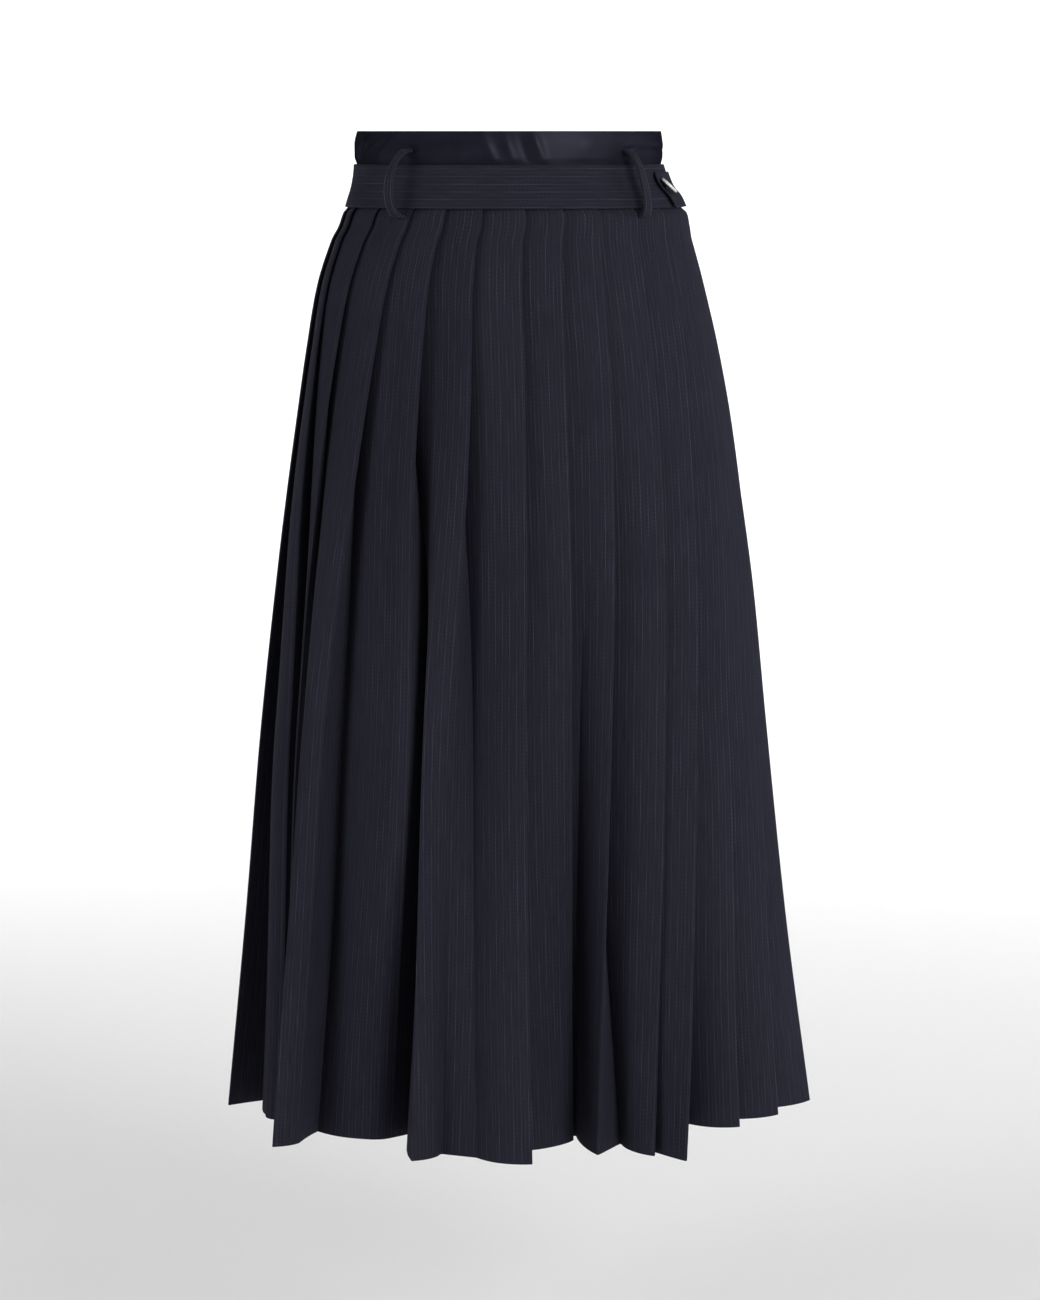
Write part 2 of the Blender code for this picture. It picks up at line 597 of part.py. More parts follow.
def belt_loop(name):
    """A flat strip that leaves a slit in the satin, bows out over the waistband and ends on the skirt."""
    loop = LOOPS[name]
    path, widths, square = loop_path(loop)
    half, thick = LOOP_WIDTH / 2, LOOP_WALL / 2
    outline = [(half - LOOP_CORNER, -thick), (half, LOOP_CORNER - thick), (half, thick - LOOP_CORNER),
               (half - LOOP_CORNER, thick), (LOOP_CORNER - half, thick), (-half, thick - LOOP_CORNER),
               (-half, LOOP_CORNER - thick), (LOOP_CORNER - half, -thick)]
    bm = bmesh.new()
    rings = []
    for i, (spot, width) in enumerate(zip(path, widths)):
        along = path[min(i + 1, LOOP_STEPS)] - path[max(i - 1, 0)]
        if i == 0:
            along = square
        if i == LOOP_STEPS:
            along = -outward(SKIRT_FORM, loop.foot_angle, loop.foot)
        across = width.cross(along).normalized()
        rings.append([bm.verts.new(spot + width * u + across * v) for u, v in outline])
    for low, high in zip(rings, rings[1:]):
        for i in range(len(outline)):
            j = (i + 1) % len(outline)
            bm.faces.new((low[i], low[j], high[j], high[i]))
    bm.faces.new(rings[0])
    bm.faces.new(rings[-1])
    return make_object(name, bm, WOOL)


def build():
    clear_scene()
    skirt_panel("skirt_front", 0, FRONT_PLEATS)
    skirt_panel("skirt_back", FRONT_PLEATS, PLEATS)
    for side in SIDES:
        band("waistband_" + side, side, BAND_FORM, BAND_ROWS, BAND_WALL, WOOL)
        band("satin_" + side, side, SATIN_FORM, SATIN_ROWS, SATIN_WALL, SATIN, ripple_out)
    button_tab()
    button()
    for name in LOOPS:
        belt_loop(name)


build()
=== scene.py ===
# %% [markdown]
# # A pleated midi skirt
# A skirt like this is one long strip of wool, folded over and over in the same direction into knife
# pleats, pressed, and sewn to a waistband. Inside the waistband stands a satin facing, and belt loops
# bow out from slits in it. The skirt is shown filled out, as it hangs from a waist.
#
# Each piece of cloth is a thin shell. A shell is worked out level by level from a few tables, so the
# pleats can open, lean and sink by amounts that a maker would recognise.
#
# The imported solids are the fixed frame. Each main piece stands for one of them. The thread is added.

# %% imports and the fixed frame
from collections import namedtuple
from math import cos, degrees, exp, hypot, pi, radians, sin, sqrt

import bmesh
import bpy
import numpy as np
from mathutils import Matrix, Vector


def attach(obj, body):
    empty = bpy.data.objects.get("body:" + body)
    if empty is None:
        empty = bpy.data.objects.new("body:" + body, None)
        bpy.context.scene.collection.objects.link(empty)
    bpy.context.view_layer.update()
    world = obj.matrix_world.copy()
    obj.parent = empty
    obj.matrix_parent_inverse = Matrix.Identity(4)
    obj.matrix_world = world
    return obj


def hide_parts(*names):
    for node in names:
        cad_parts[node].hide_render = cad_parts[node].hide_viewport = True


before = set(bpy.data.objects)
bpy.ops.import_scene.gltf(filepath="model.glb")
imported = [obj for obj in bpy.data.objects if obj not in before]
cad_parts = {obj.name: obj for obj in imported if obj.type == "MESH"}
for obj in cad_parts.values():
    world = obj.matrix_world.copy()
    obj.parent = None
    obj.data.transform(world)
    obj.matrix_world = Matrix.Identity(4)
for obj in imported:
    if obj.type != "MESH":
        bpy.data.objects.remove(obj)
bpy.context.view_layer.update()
MM = 0.001

# %% [markdown]
# ## Camera, floor and light
# A long lens from a few metres away flattens a garment the way a shop picture does. The camera stands
# at waist height and looks a little down, so the hem shows as a shallow arc.
#
# Dark wool needs broad, soft light, or its pleats close up into black. Three large lamps stand round
# the front: one right of the camera, one further round on each side. The right side gets more light
# than the left, so each pleat's face is paler than the return behind its fold. Two smaller lamps stand
# behind the skirt and light the wall, and the floor and the world throw light back from all round.
#
# Satin mirrors whatever stands round it, and at its sides it would mirror the white wall. A
# photographer screens that off with dark flags. Here only one lamp shows in gloss, and the studio,
# the world and the other lamps light the cloth without being mirrored in it.

# %% camera
LENS, SENSOR = 105.06, 36.0   # mm: the sensor's longer side stands upright
CAMERA_PLACE = (0.0, -3.2, 0.045)
CAMERA_DIP = 7.79        # degrees below level


def new_object(name, data):
    """An object made from its data and linked to the scene."""
    item = bpy.data.objects.new(name, data)
    bpy.context.scene.collection.objects.link(item)
    return item


camera_data = bpy.data.cameras.new("camera")
camera_data.sensor_width = SENSOR
camera_data.lens = LENS
camera = new_object("camera", camera_data)
camera.location = CAMERA_PLACE
camera.rotation_euler = (radians(90 - CAMERA_DIP), 0, 0)
bpy.context.scene.camera = camera
print("camera:", CAMERA_PLACE, "dips", CAMERA_DIP, "degrees")


# %% shader arithmetic
class Socket:
    """One output of a shader node, with the sums that a finish needs."""

    def __init__(self, finish, output):
        self.finish = finish
        self.output = output

    def math(self, operation, *others):
        inputs = dict(enumerate((self, *others)))
        return self.finish.node("ShaderNodeMath", {"operation": operation}, inputs)

    def __add__(self, other):
        return self.math("ADD", other)

    def __sub__(self, other):
        return self.math("SUBTRACT", other)

    def __rsub__(self, other):
        return self.finish.node("ShaderNodeMath", {"operation": "SUBTRACT"}, {0: other, 1: self})

    def __mul__(self, other):
        return self.math("MULTIPLY", other)

    def __truediv__(self, other):
        return self.math("DIVIDE", other)

    __radd__ = __add__
    __rmul__ = __mul__


class Finish:
    """One material, and the one way in which all its nodes are made."""

    def __init__(self, name, **constants):
        self.material = bpy.data.materials.new(name)
        self.material.use_nodes = True
        self.tree = self.material.node_tree
        self.shader = self.tree.nodes["Principled BSDF"]
        for socket, value in constants.items():
            self.shader.inputs[socket.replace("_", " ")].default_value = value

    def node(self, kind, settings=(), inputs=(), output=0):
        """Any node: first its settings, then the values or links of its sockets."""
        made = self.tree.nodes.new(kind)
        for name, value in dict(settings).items():
            setattr(made, name, value)
        for name, value in dict(inputs).items():
            if isinstance(value, Socket):
                self.tree.links.new(value.output, made.inputs[name])
            else:
                made.inputs[name].default_value = value
        return Socket(self, made.outputs[output])

    def feed(self, socket, value):
        self.tree.links.new(value.output, self.shader.inputs[socket])

    def mix(self, share, first, second):
        """A colour between two colours."""
        return self.node("ShaderNodeMix", {"data_type": "RGBA"}, {0: share, 6: first, 7: second}, output=2)

    def cloth_places(self, *scale):
        """The cloth's own map in metres, stretched by three factors."""
        place = self.node("ShaderNodeTexCoord", output="UV")
        return self.node("ShaderNodeVectorMath", {"operation": "MULTIPLY"}, {0: place, 1: scale})

    def noise(self, scale, detail=2.0):
        """Noise on the cloth's map: scale is how many grains there are to a metre, across and along."""
        return self.node("ShaderNodeTexNoise", {"noise_dimensions": "2D"},
                         {"Vector": self.cloth_places(*scale, 1.0), "Scale": 1.0, "Detail": detail})

    def smooth_step(self, value, start, end):
        """0 before start, 1 after end, with a soft change between them."""
        return self.node("ShaderNodeMapRange", {"interpolation_type": "SMOOTHSTEP"},
                         {"Value": value, "From Min": start, "From Max": end})

    def bump(self, height, depth, strength):
        """Feed a relief of one depth in metres to the shader's normal."""
        self.feed("Normal", self.node("ShaderNodeBump", {}, {"Height": height, "Distance": depth,
                                                            "Strength": strength}))


# %% floor and backdrop
FLOOR = -1.02            # m: where the wearer would stand
FLOOR_FRONT, FLOOR_BACK, BACKDROP_TOP = -6.0, 5.5, 5.0   # far enough to walk round behind the skirt
HALF_WIDTH = 8.0
SWEEP = 2.0              # radius of the bend between the floor and the wall
SWEEP_STEPS = 16
PAPER = (0.86, 0.86, 0.86, 1.0)


def studio_sweep():
    """One sheet that runs along the floor and bends up into the wall."""
    profile = [(FLOOR_FRONT, FLOOR)]
    for i in range(SWEEP_STEPS + 1):
        turn = pi / 2 * i / SWEEP_STEPS
        profile.append((FLOOR_BACK - SWEEP + SWEEP * sin(turn), FLOOR + SWEEP - SWEEP * cos(turn)))
    profile.append((FLOOR_BACK, BACKDROP_TOP))
    mesh = bpy.data.meshes.new("studio")
    points = [(side * HALF_WIDTH, y, z) for y, z in profile for side in (-1, 1)]
    faces = [(2 * i, 2 * i + 1, 2 * i + 3, 2 * i + 2) for i in range(len(profile) - 1)]
    mesh.from_pydata(points, [], faces)
    mesh.shade_smooth()
    mesh.materials.append(Finish("pale paper", Base_Color=PAPER, Roughness=0.9).material)
    return new_object("studio", mesh)


studio = studio_sweep()
studio.visible_glossy = False
print("studio floor at", FLOOR)

# %% lights
Lamp = namedtuple("Lamp", "name place aim size watts")
# In metres: how far from the skirt the lamps round it stand, how high, and how wide they are.
LAMP_REACH, LAMP_HEIGHT, LAMP_SIZE = 3.3, 0.5, 1.8
SKIRT_MIDDLE = (0.0, 0.0, -0.4)
WALL_LAMP_PLACE, WALL_LAMP_AIM = (3.0, 2.7, 1.6), (1.0, FLOOR_BACK, 0.4)
WALL_LAMP_SIZE, WALL_LAMP_WATTS = 1.5, 130.0


def lamp_round(name, angle, watts):
    """A lamp on the ring round the skirt, at an angle from the front, aimed at the skirt's middle."""
    turn = radians(angle)
    place = (LAMP_REACH * sin(turn), -LAMP_REACH * cos(turn), LAMP_HEIGHT)
    return Lamp(name, place, SKIRT_MIDDLE, LAMP_SIZE, watts)


def wall_lamp(name, side):
    """A lamp that lights the wall: side is -1 for the left and 1 for the right."""
    place, aim = [(side * x, y, z) for x, y, z in (WALL_LAMP_PLACE, WALL_LAMP_AIM)]
    return Lamp(name, place, aim, WALL_LAMP_SIZE, WALL_LAMP_WATTS)


LAMPS = [
    lamp_round("left", -60.0, 53.0),
    lamp_round("front right", 35.0, 71.0),
    lamp_round("right", 85.0, 47.0),
    wall_lamp("wall left", -1),
    wall_lamp("wall right", 1),
]
WORLD_LIGHT = 0.25
GLOSSY_LAMP = "front right"


def set_lamp(lamp):
    data = bpy.data.lights.new(lamp.name, "AREA")
    data.shape = "DISK"
    data.size = lamp.size
    data.energy = lamp.watts
    item = new_object(lamp.name, data)
    item.location = lamp.place
    item.rotation_euler = (Vector(lamp.aim) - Vector(lamp.place)).to_track_quat("-Z", "Y").to_euler()
    item.visible_glossy = lamp.name == GLOSSY_LAMP


for lamp in LAMPS:
    set_lamp(lamp)
world = bpy.data.worlds.new("studio air")
world.use_nodes = True
world.node_tree.nodes["Background"].inputs["Color"].default_value = (1.0, 1.0, 1.0, 1.0)
world.node_tree.nodes["Background"].inputs["Strength"].default_value = WORLD_LIGHT
world.cycles_visibility.glossy = False
bpy.context.scene.world = world
bpy.context.scene.view_settings.view_transform = "Standard"
print("lamps:", [lamp.name for lamp in LAMPS])

# %% [markdown]
# ## The general form
# The tables are those of the solids: an oval for each height, in millimetres. A curve that never
# overshoots its stops gives the ovals between them, so that a waist stays a waist and no bulge
# appears between two rows. Angles go round the body: 0 at the centre front, 90 at the wearer's left.

# %% sizes and ovals
CLOTH = 1.0              # mm, one layer of wool
LAYER = 1.6              # centre to centre of two pressed layers
HALF_FOLD = (CLOTH + LAYER) / 2
SEAM = 0.3               # between two pieces that lie on each other
SEWN = 0.02              # between two pieces that are sewn end to end
BAND_WALL = 1.8
SATIN_WALL = 0.8
SKIRT_TOP, HEM = -11.5, -788.0
BAND_TOP, BAND_FOOT = 17.6, -17.9
SATIN_TOP, SATIN_FOOT = 45.0, -24.0
MEAN_RADIUS = 150.0      # turns degrees into a length where a face slants

Section = namedtuple("Section", "z half_width front back centre_x")
SKIRT_FORM = [
    Section(-11.0, 137.4, 97.0, 97.4, -5.1),
    Section(-18.2, 139.9, 98.8, 99.6, -4.7),
    Section(-22.5, 144.0, 100.6, 101.6, -4.1),
    Section(-34.0, 147.4, 102.1, 104.2, -4.9),
    Section(-45.0, 151.3, 104.0, 107.0, -6.9),
    Section(-80.0, 162.0, 110.0, 117.0, -7.9),
    Section(-135.0, 173.7, 119.0, 131.0, -6.3),
    Section(-200.0, 184.9, 129.0, 143.0, -4.9),
    Section(-320.0, 201.7, 143.0, 156.0, -4.3),
    Section(-450.0, 215.7, 157.0, 168.0, -5.2),
    Section(-620.0, 233.0, 175.0, 182.0, -3.5),
    Section(HEM, 253.6, 195.0, 198.0, -0.2),
]
BAND_FORM = [
    Section(20.0, 129.2, 92.5, 92.5, -9.7),
    Section(9.0, 131.4, 94.6, 94.6, -8.4),
    Section(0.0, 134.1, 97.0, 97.0, -7.3),
    Section(-9.0, 138.9, 99.4, 99.8, -5.1),
    Section(-20.0, 143.1, 101.4, 102.2, -4.3),
]
SATIN_FORM = [
    Section(46.0, 126.8, 90.0, 90.0, -9.1),
    Section(34.0, 128.9, 91.2, 91.2, -9.6),
    Section(24.0, 128.8, 91.0, 91.0, -9.6),
    Section(16.0, 127.0, 90.0, 90.0, -9.2),
    Section(10.0, 128.2, 91.4, 91.4, -8.6),
    Section(0.0, 130.8, 92.8, 92.8, -7.2),
    Section(-6.0, 126.8, 85.6, 85.8, -5.7),
    Section(-24.0, 128.6, 87.6, 88.2, -4.4),
]


def smooth_value(stops, values, at):
    """The value at one height on a curve through all the stops that never overshoots them."""
    if at >= stops[0]:
        return values[0]
    if at <= stops[-1]:
        return values[-1]
    steps = [(values[i + 1] - values[i]) / (stops[i + 1] - stops[i]) for i in range(len(stops) - 1)]
    slopes = [steps[0]]
    for before, after in zip(steps, steps[1:]):
        slopes.append(2 * before * after / (before + after) if before * after > 0 else 0.0)
    slopes.append(steps[-1])
    i = next(k for k in range(len(stops) - 1) if at >= stops[k + 1])
    width = stops[i + 1] - stops[i]
    t = (at - stops[i]) / width
    return (values[i] * (1 + 2 * t) * (1 - t) ** 2 + values[i + 1] * t * t * (3 - 2 * t)
            + slopes[i] * width * t * (1 - t) ** 2 - slopes[i + 1] * width * t * t * (1 - t))


def form_at(form, z):
    """The oval of a form at one height."""
    stops, *columns = zip(*form)
    return Section(z, *(smooth_value(stops, column, z) for column in columns))


def on_form(section, angle, inset=0.0):
    """Plan position, mm, at an angle round the body and a depth inside the form."""
    turn = radians(angle)
    depth = section.front if cos(turn) > 0 else section.back
    return (section.centre_x + (section.half_width - inset) * sin(turn), -(depth - inset) * cos(turn))


waist = form_at(BAND_FORM, 0)
waist_round = pi * (3 * (waist.half_width + waist.front)
                    - sqrt((3 * waist.half_width + waist.front) * (waist.half_width + 3 * waist.front)))
print("outside of the waistband:", round(waist_round), "mm round")

# %% [markdown]
# ## Where every pleat folds
# A knife pleat has two folds. The outer one shows as an edge, and the inner one lies hidden behind it.
# The tables say at four heights where each outer fold is, how many degrees its inner fold lies behind
# it, and how deep both lie inside the form. At the waist everything lies flat and close. At the hem
# the pleats swing open by different amounts, which is what makes a worn skirt look alive.
#
# A crest is the crease that stays in a face from pressing, and stands out where its pleat opens.

# %% fold tables
Ridge = namedtuple("Ridge", "waist hip knee hem hip_in knee_in hem_in")
RIDGES = [
    Ridge(-87.5, -89.0, -89.5, -87.3, 0, 0, 1),
    Ridge(-72.5, -70.5, -64.5, -68.5, 1, 7, 33),
    Ridge(-53.8, -59.5, -61.0, -56.6, 1, 8, 15),
    Ridge(-36.5, -42.9, -47.3, -46.5, 0, 1, -1),
    Ridge(-23.6, -25.8, -23.8, -32.7, 0, 4, 56),
    Ridge(-10.8, -11.5, -14.5, -16.0, 0, 6, 19),
    Ridge(3.5, 2.9, 2.7, 2.2, 0, 0, -5),
    Ridge(16.5, 14.1, 14.7, 13.7, 5, 26, 65),
    Ridge(29.5, 26.1, 22.7, 15.8, 1, 8, 17),
    Ridge(44.5, 40.4, 36.0, 26.0, 0, 3, 1),
    Ridge(59.0, 51.5, 42.9, 29.5, -1, -7, -23),
    Ridge(73.5, 65.5, 59.1, 59.0, 1, 6, 36),
    Ridge(89.0, 83.0, 75.5, 76.0, 0, 3, 25),
]
Valley = namedtuple("Valley", "waist_lag hip_lag knee_lag hem_lag hip_in knee_in hem_in")
VALLEYS = [
    Valley(13.5, 9.0, 7.5, 7.0, 13, 26, 41),
    Valley(13.0, 9.0, 4.0, -2.0, 14, 36, 61),
    Valley(13.5, 7.0, -1.0, -1.0, 15, 34, 39),
    Valley(12.0, 7.0, 3.0, 5.5, 15, 30, 37),
    Valley(11.0, 5.0, -2.0, -3.5, 22, 56, 83),
    Valley(10.5, 4.0, -4.5, -7.5, 16, 23, 13),
    Valley(11.5, 9.5, 8.0, 6.0, 9, 20, 30),
    Valley(10.5, 9.0, 6.5, 2.5, 13, 44, 95),
    Valley(10.5, 7.0, 1.2, -8.0, 14, 34, 45),
    Valley(12.0, 10.0, 7.5, -0.5, 7, 14, 27),
    Valley(12.0, 9.0, 1.0, -23.5, 9, 26, 74),
    Valley(12.5, 10.0, 4.5, -6.0, 11, 30, 63),
    Valley(13.5, 10.0, 4.0, -6.0, 10, 26, 43),
]
Crest = namedtuple("Crest", "hip knee hem hip_in knee_in hem_in")
CRESTS = {
    1: Crest(-83.0, -73.2, -75.0, 5, 7, 29),
    3: Crest(-57.5, -53.2, -48.0, 8, -3, -22),
    4: Crest(-34.0, -29.3, -37.6, 8, 6, 42),
    5: Crest(-20.5, -20.0, -19.9, 11, 0, -6),
    8: Crest(18.0, 17.5, 15.8, 9, 33, 79),
}
LEVELS = [-12.0, -200.0, -450.0, HEM]
BACK_LIKE = [0, 7, 3, 9, 11, 6, 8, 2, 10, 5, 3]   # the hidden back repeats these front pleats' depths


# %% where the folds lie at one height
def fold_rows():
    """Every outer and inner fold all round: their angles and insets at the four table heights."""
    outer = [((r.waist, r.hip, r.knee, r.hem), (0.0, r.hip_in, r.knee_in, r.hem_in)) for r in RIDGES]
    inner = [((v.waist_lag, v.hip_lag, v.knee_lag, v.hem_lag), (v.hip_in, v.knee_in, v.hem_in))
             for v in VALLEYS]
    first, last = outer[0][0], outer[-1][0]
    for k, like in enumerate(BACK_LIKE):
        share = (k + 1) / (len(BACK_LIKE) + 1)
        outer.append((tuple(b + share * (a + 360 - b) for a, b in zip(first, last)), outer[like][1]))
        inner.append(inner[like])
    return outer, inner


OUTER_FOLDS, INNER_FOLDS = fold_rows()
PLEATS = len(OUTER_FOLDS)
FRONT_PLEATS = len(RIDGES)
TUCK_ROUNDS = 3          # sinking a fold moves the crest beside it, so the folds are sunk again


def folds_at(z):
    """One level's folds in order, from the inner fold before the first pleat: (kind, angle, inset) rows."""
    rows = []
    for k in range(-1, PLEATS):
        turn = -360 if k < 0 else 0
        angles, insets = OUTER_FOLDS[k]
        lags, depths = INNER_FOLDS[k]
        angle = smooth_value(LEVELS, angles, z) + turn
        inset = smooth_value(LEVELS, insets, z) + HALF_FOLD
        behind = angle - smooth_value(LEVELS, lags, z)
        depth = smooth_value(LEVELS, (0,) + depths, z) + HALF_FOLD
        if k >= 0:
            rows.append(("outer", angle, inset))
        rows.append(("inner", behind, depth))
    for _ in range(TUCK_ROUNDS):
        rows = tuck_inner_folds(with_crests(rows, z))
    return with_crests(rows, z)


def with_crests(rows, z):
    """The same folds with the creases pressed through the middle of faces that stand out lower down."""
    creased = []
    for n, row in enumerate(rows):
        crest = CRESTS.get(n // 2) if row[0] == "outer" else None
        if crest:
            middle = (rows[n - 1][1] + row[1]) / 2
            straight = (rows[n - 1][2] + row[2]) / 2 - CLOTH / 2
            angle = smooth_value(LEVELS, (middle, crest.hip, crest.knee, crest.hem), z)
            inset = smooth_value(LEVELS, (straight, crest.hip_in, crest.knee_in, crest.hem_in), z)
            creased.append(("crest", angle, inset + CLOTH / 2))
        creased.append(row)
    return creased


# %% [markdown]
# A pleat needs room. Where an inner fold lies under a face, its two layers must fit below that face,
# and more so where the face slants. Each inner fold is therefore sunk until its layers clear what is
# over it. Without this step a pressed pleat would cut through its neighbour.

# %% room for the layers
CLOSED_SHARE, OPENING_SHARE = 0.65, 0.2   # a crest next to an inner fold still lies closed over it
NEAR_RIDGE = 0.9


def room(angle, inset):
    """Depth that two layers take under a face which turns and sinks by these amounts, mm."""
    return 2 * LAYER * hypot(1.0, inset / (radians(angle) * MEAN_RADIUS))


def inset_below(rows, angle):
    """The least inset that keeps a fold clear of the run of folds outside it, at one angle."""
    for (_, first, start), (_, last, end) in zip(rows, rows[1:]):
        if first <= angle <= last:
            straight = start + (end - start) * (angle - first) / (last - first)
            return straight + room(first - last, start - end)
    return 0.0


def inset_behind(ridge, angle, inset, ahead):
    """The inset that passes the next face behind an outer fold, and how far along that face the fold is."""
    share = (ridge[1] - angle) / (ahead[1] - angle)
    if not 0 < share < NEAR_RIDGE:
        return inset, share
    below = ridge[2] + room(ahead[1] - angle, inset - ahead[2])
    return (below - ahead[2] * share) / (1 - share), share


def tuck_inner_folds(rows):
    """Sink each inner fold until its layers clear the face over it, and leave the crests out again."""
    outer = [i for i, row in enumerate(rows) if row[0] == "outer"]
    for n, i in enumerate(outer):
        face = rows[outer[n - 1] + 1 if n else 0:i + 1]
        angle, inset = rows[i + 1][1:]
        if angle >= rows[i][1]:
            continue
        inset = max(inset, inset_below(face, angle))
        if n + 1 < len(outer):
            to_crest, share = inset_behind(rows[i], angle, inset, rows[i + 2])
            to_ridge, _ = inset_behind(rows[i], angle, inset, rows[outer[n + 1]])
            straight = min(max((share - CLOSED_SHARE) / OPENING_SHARE, 0.0), 1.0)
            inset = max(inset, to_crest + straight * (to_ridge - to_crest))
        rows[i + 1] = ("inner", angle, inset)
    rows[0] = ("inner", rows[0][1], rows[-1][2])
    return [row for row in rows if row[0] != "crest"]


# %% [markdown]
# ## The line of the cloth
# Between two folds the cloth runs straight across a pleat's face, or bows a little. At a fold it goes
# round a small half circle, because even pressed wool has a rounded edge. The line of one level has
# the same number of points at every height, so the levels join into one clean grid.

# %% soft bows of the faces
# How far the middle of each face stands out of the straight line, mm, at hip, knee and hem.
Bow = namedtuple("Bow", "hip knee hem")
BOWS = [
    Bow(1, 2, 3), Bow(1, 2, 4), Bow(0, 2, 3), Bow(1, 3, 2), Bow(1, 2, 3), Bow(1, 2, 4), Bow(2, 4, 6),
    Bow(1, 3, 5), Bow(1, 2, 3), Bow(2, 3, 5), Bow(0, 0, 0), Bow(1, 2, 5), Bow(1, 2, 4),
]
FACE_STEPS = 12
RETURN_STEPS = 6
FOLD_STEPS = 5
SHARP = -0.2             # cosine: a sharper turn than this is a pressed fold
FLAT_WITHIN = 6.0        # degrees: a steep return is straight in plan


def unit(vector):
    size = hypot(*vector)
    return (vector[0] / size, vector[1] / size)


def across_fold(kind, before, tip, after):
    """Direction from the layer that comes in to the layer that leaves, and the way that the tip points."""
    came = unit((tip[0] - before[0], tip[1] - before[1]))
    goes = unit((after[0] - tip[0], after[1] - tip[1]))
    open_share = came[0] * goes[0] + came[1] * goes[1]
    if open_share > SHARP:
        across = unit((came[0] + goes[0], came[1] + goes[1]))
    else:
        point = unit((came[0] - goes[0], came[1] - goes[1]))
        across = (-point[1], point[0]) if kind == "outer" else (point[1], -point[0])
    point = (across[1], -across[0]) if kind == "outer" else (-across[1], across[0])
    return across, point, open_share


def face_bow(pleat, z):
    bow = BOWS[pleat % len(BOWS)]
    return smooth_value(LEVELS, (0.0, *bow), z)


def cloth_line(z):
    """The wool's centre line round one level, mm, and the index of each fold's middle in it."""
    section = form_at(SKIRT_FORM, z)
    folds = folds_at(z)
    line, places = [], []
    pleat = 0
    for (kind, angle, inset), (next_kind, next_angle, next_inset) in zip(folds, folds[1:]):
        steps = RETURN_STEPS if kind == "outer" else FACE_STEPS
        if "crest" in (kind, next_kind):
            steps = FACE_STEPS // 2
        places.append((len(line), kind))
        start, end = on_form(section, angle, inset), on_form(section, next_angle, next_inset)
        flat = min(max(1 - (angle - next_angle) / FLAT_WITHIN, 0.0), 1.0) if kind == "outer" else 0.0
        bow = 0.0 if kind == "outer" else face_bow(pleat, z)
        along = unit((end[0] - start[0], end[1] - start[1]))
        for i in range(steps):
            share = i / steps
            turn, sink = angle + share * (next_angle - angle), inset + share * (next_inset - inset)
            bent = on_form(section, turn, sink)
            x, y = (bent[k] + flat * (start[k] + share * (end[k] - start[k]) - bent[k]) for k in (0, 1))
            out = bow * 4 * share * (1 - share)
            line.append((x + out * along[1], y - out * along[0]))
        pleat += kind == "outer"
    places.append((len(line), "inner"))
    line.append(on_form(section, folds[-1][1], folds[-1][2]))
    return turn_folds(line, places)


def turn_folds(line, places):
    """Round each fold, a layer wide, and list the middle of every fold with its kind."""
    folds = [(i, kind) for i, kind in places if kind != "crest"]
    aside, points, sharp = [], [], []
    for i, kind in folds:
        before = line[i - 1] if i else line[-2]
        after = line[i + 1] if i + 1 < len(line) else line[1]
        step, point, open_share = across_fold(kind, before, line[i], after)
        aside.append((step[0] * LAYER / 2, step[1] * LAYER / 2))
        points.append(point)
        sharp.append(sqrt((1 - open_share) / 2) * LAYER / 2)
    turned, middles = [], []
    for n, (i, kind) in enumerate(folds):
        (x, y), (ax, ay), (px, py), reach = line[i], aside[n], points[n], sharp[n]
        middles.append((len(turned) + FOLD_STEPS // 2, kind))
        for j in range(FOLD_STEPS):
            turn = pi * j / (FOLD_STEPS - 1)
            side, ahead = -cos(turn), reach * (sin(turn) - 1)
            turned.append((x + side * ax + ahead * px, y + side * ay + ahead * py))
        end = folds[n + 1][0] if n + 1 < len(folds) else i
        for j in range(i + 1, end):
            share = (j - i) / (end - i)
            turned.append(tuple(line[j][axis] + (1 - share) * aside[n][axis] - share * aside[n + 1][axis]
                                for axis in (0, 1)))
    return turned, middles


hem_line, hem_folds = cloth_line(HEM)
print("points round the hem:", len(hem_line), "with", len(hem_folds), "folds")

# %% [markdown]
# ## From lines to a wall of cloth
# A shell has an outer grid of points and an inner one, joined at the edges. Both faces share one map
# of the cloth in real metres, so the weave and the stripes have their true size wherever they fall.
# The first column of the map runs across the stripes, and the second along them.


# %% a shell from two grids
SOFT_ANGLE = 40          # degrees: a sharper bend than this is shaded as an edge
FORWARD, BACKWARD = (0, 1, 2, 3), (3, 2, 1, 0)   # the two ways round a face's corners


def cloth_object(name, points, faces, places, finish):
    """An object from points in mm, its faces, and the place of each face's corners on the cloth's map."""
    mesh = bpy.data.meshes.new(name)
    mesh.from_pydata((points * MM).tolist(), [], faces)
    layer = mesh.uv_layers.new(name="cloth")
    layer.data.foreach_set("uv", (places * MM).astype(np.float32).ravel())
    mesh.shade_smooth()
    mesh.set_sharp_from_angle(angle=radians(SOFT_ANGLE))
    mesh.materials.append(finish.material)
    return new_object(name, mesh)


def corners(*values):
    """Arrays with one value for each face, put together corner by corner."""
    return np.stack(values, axis=-1)


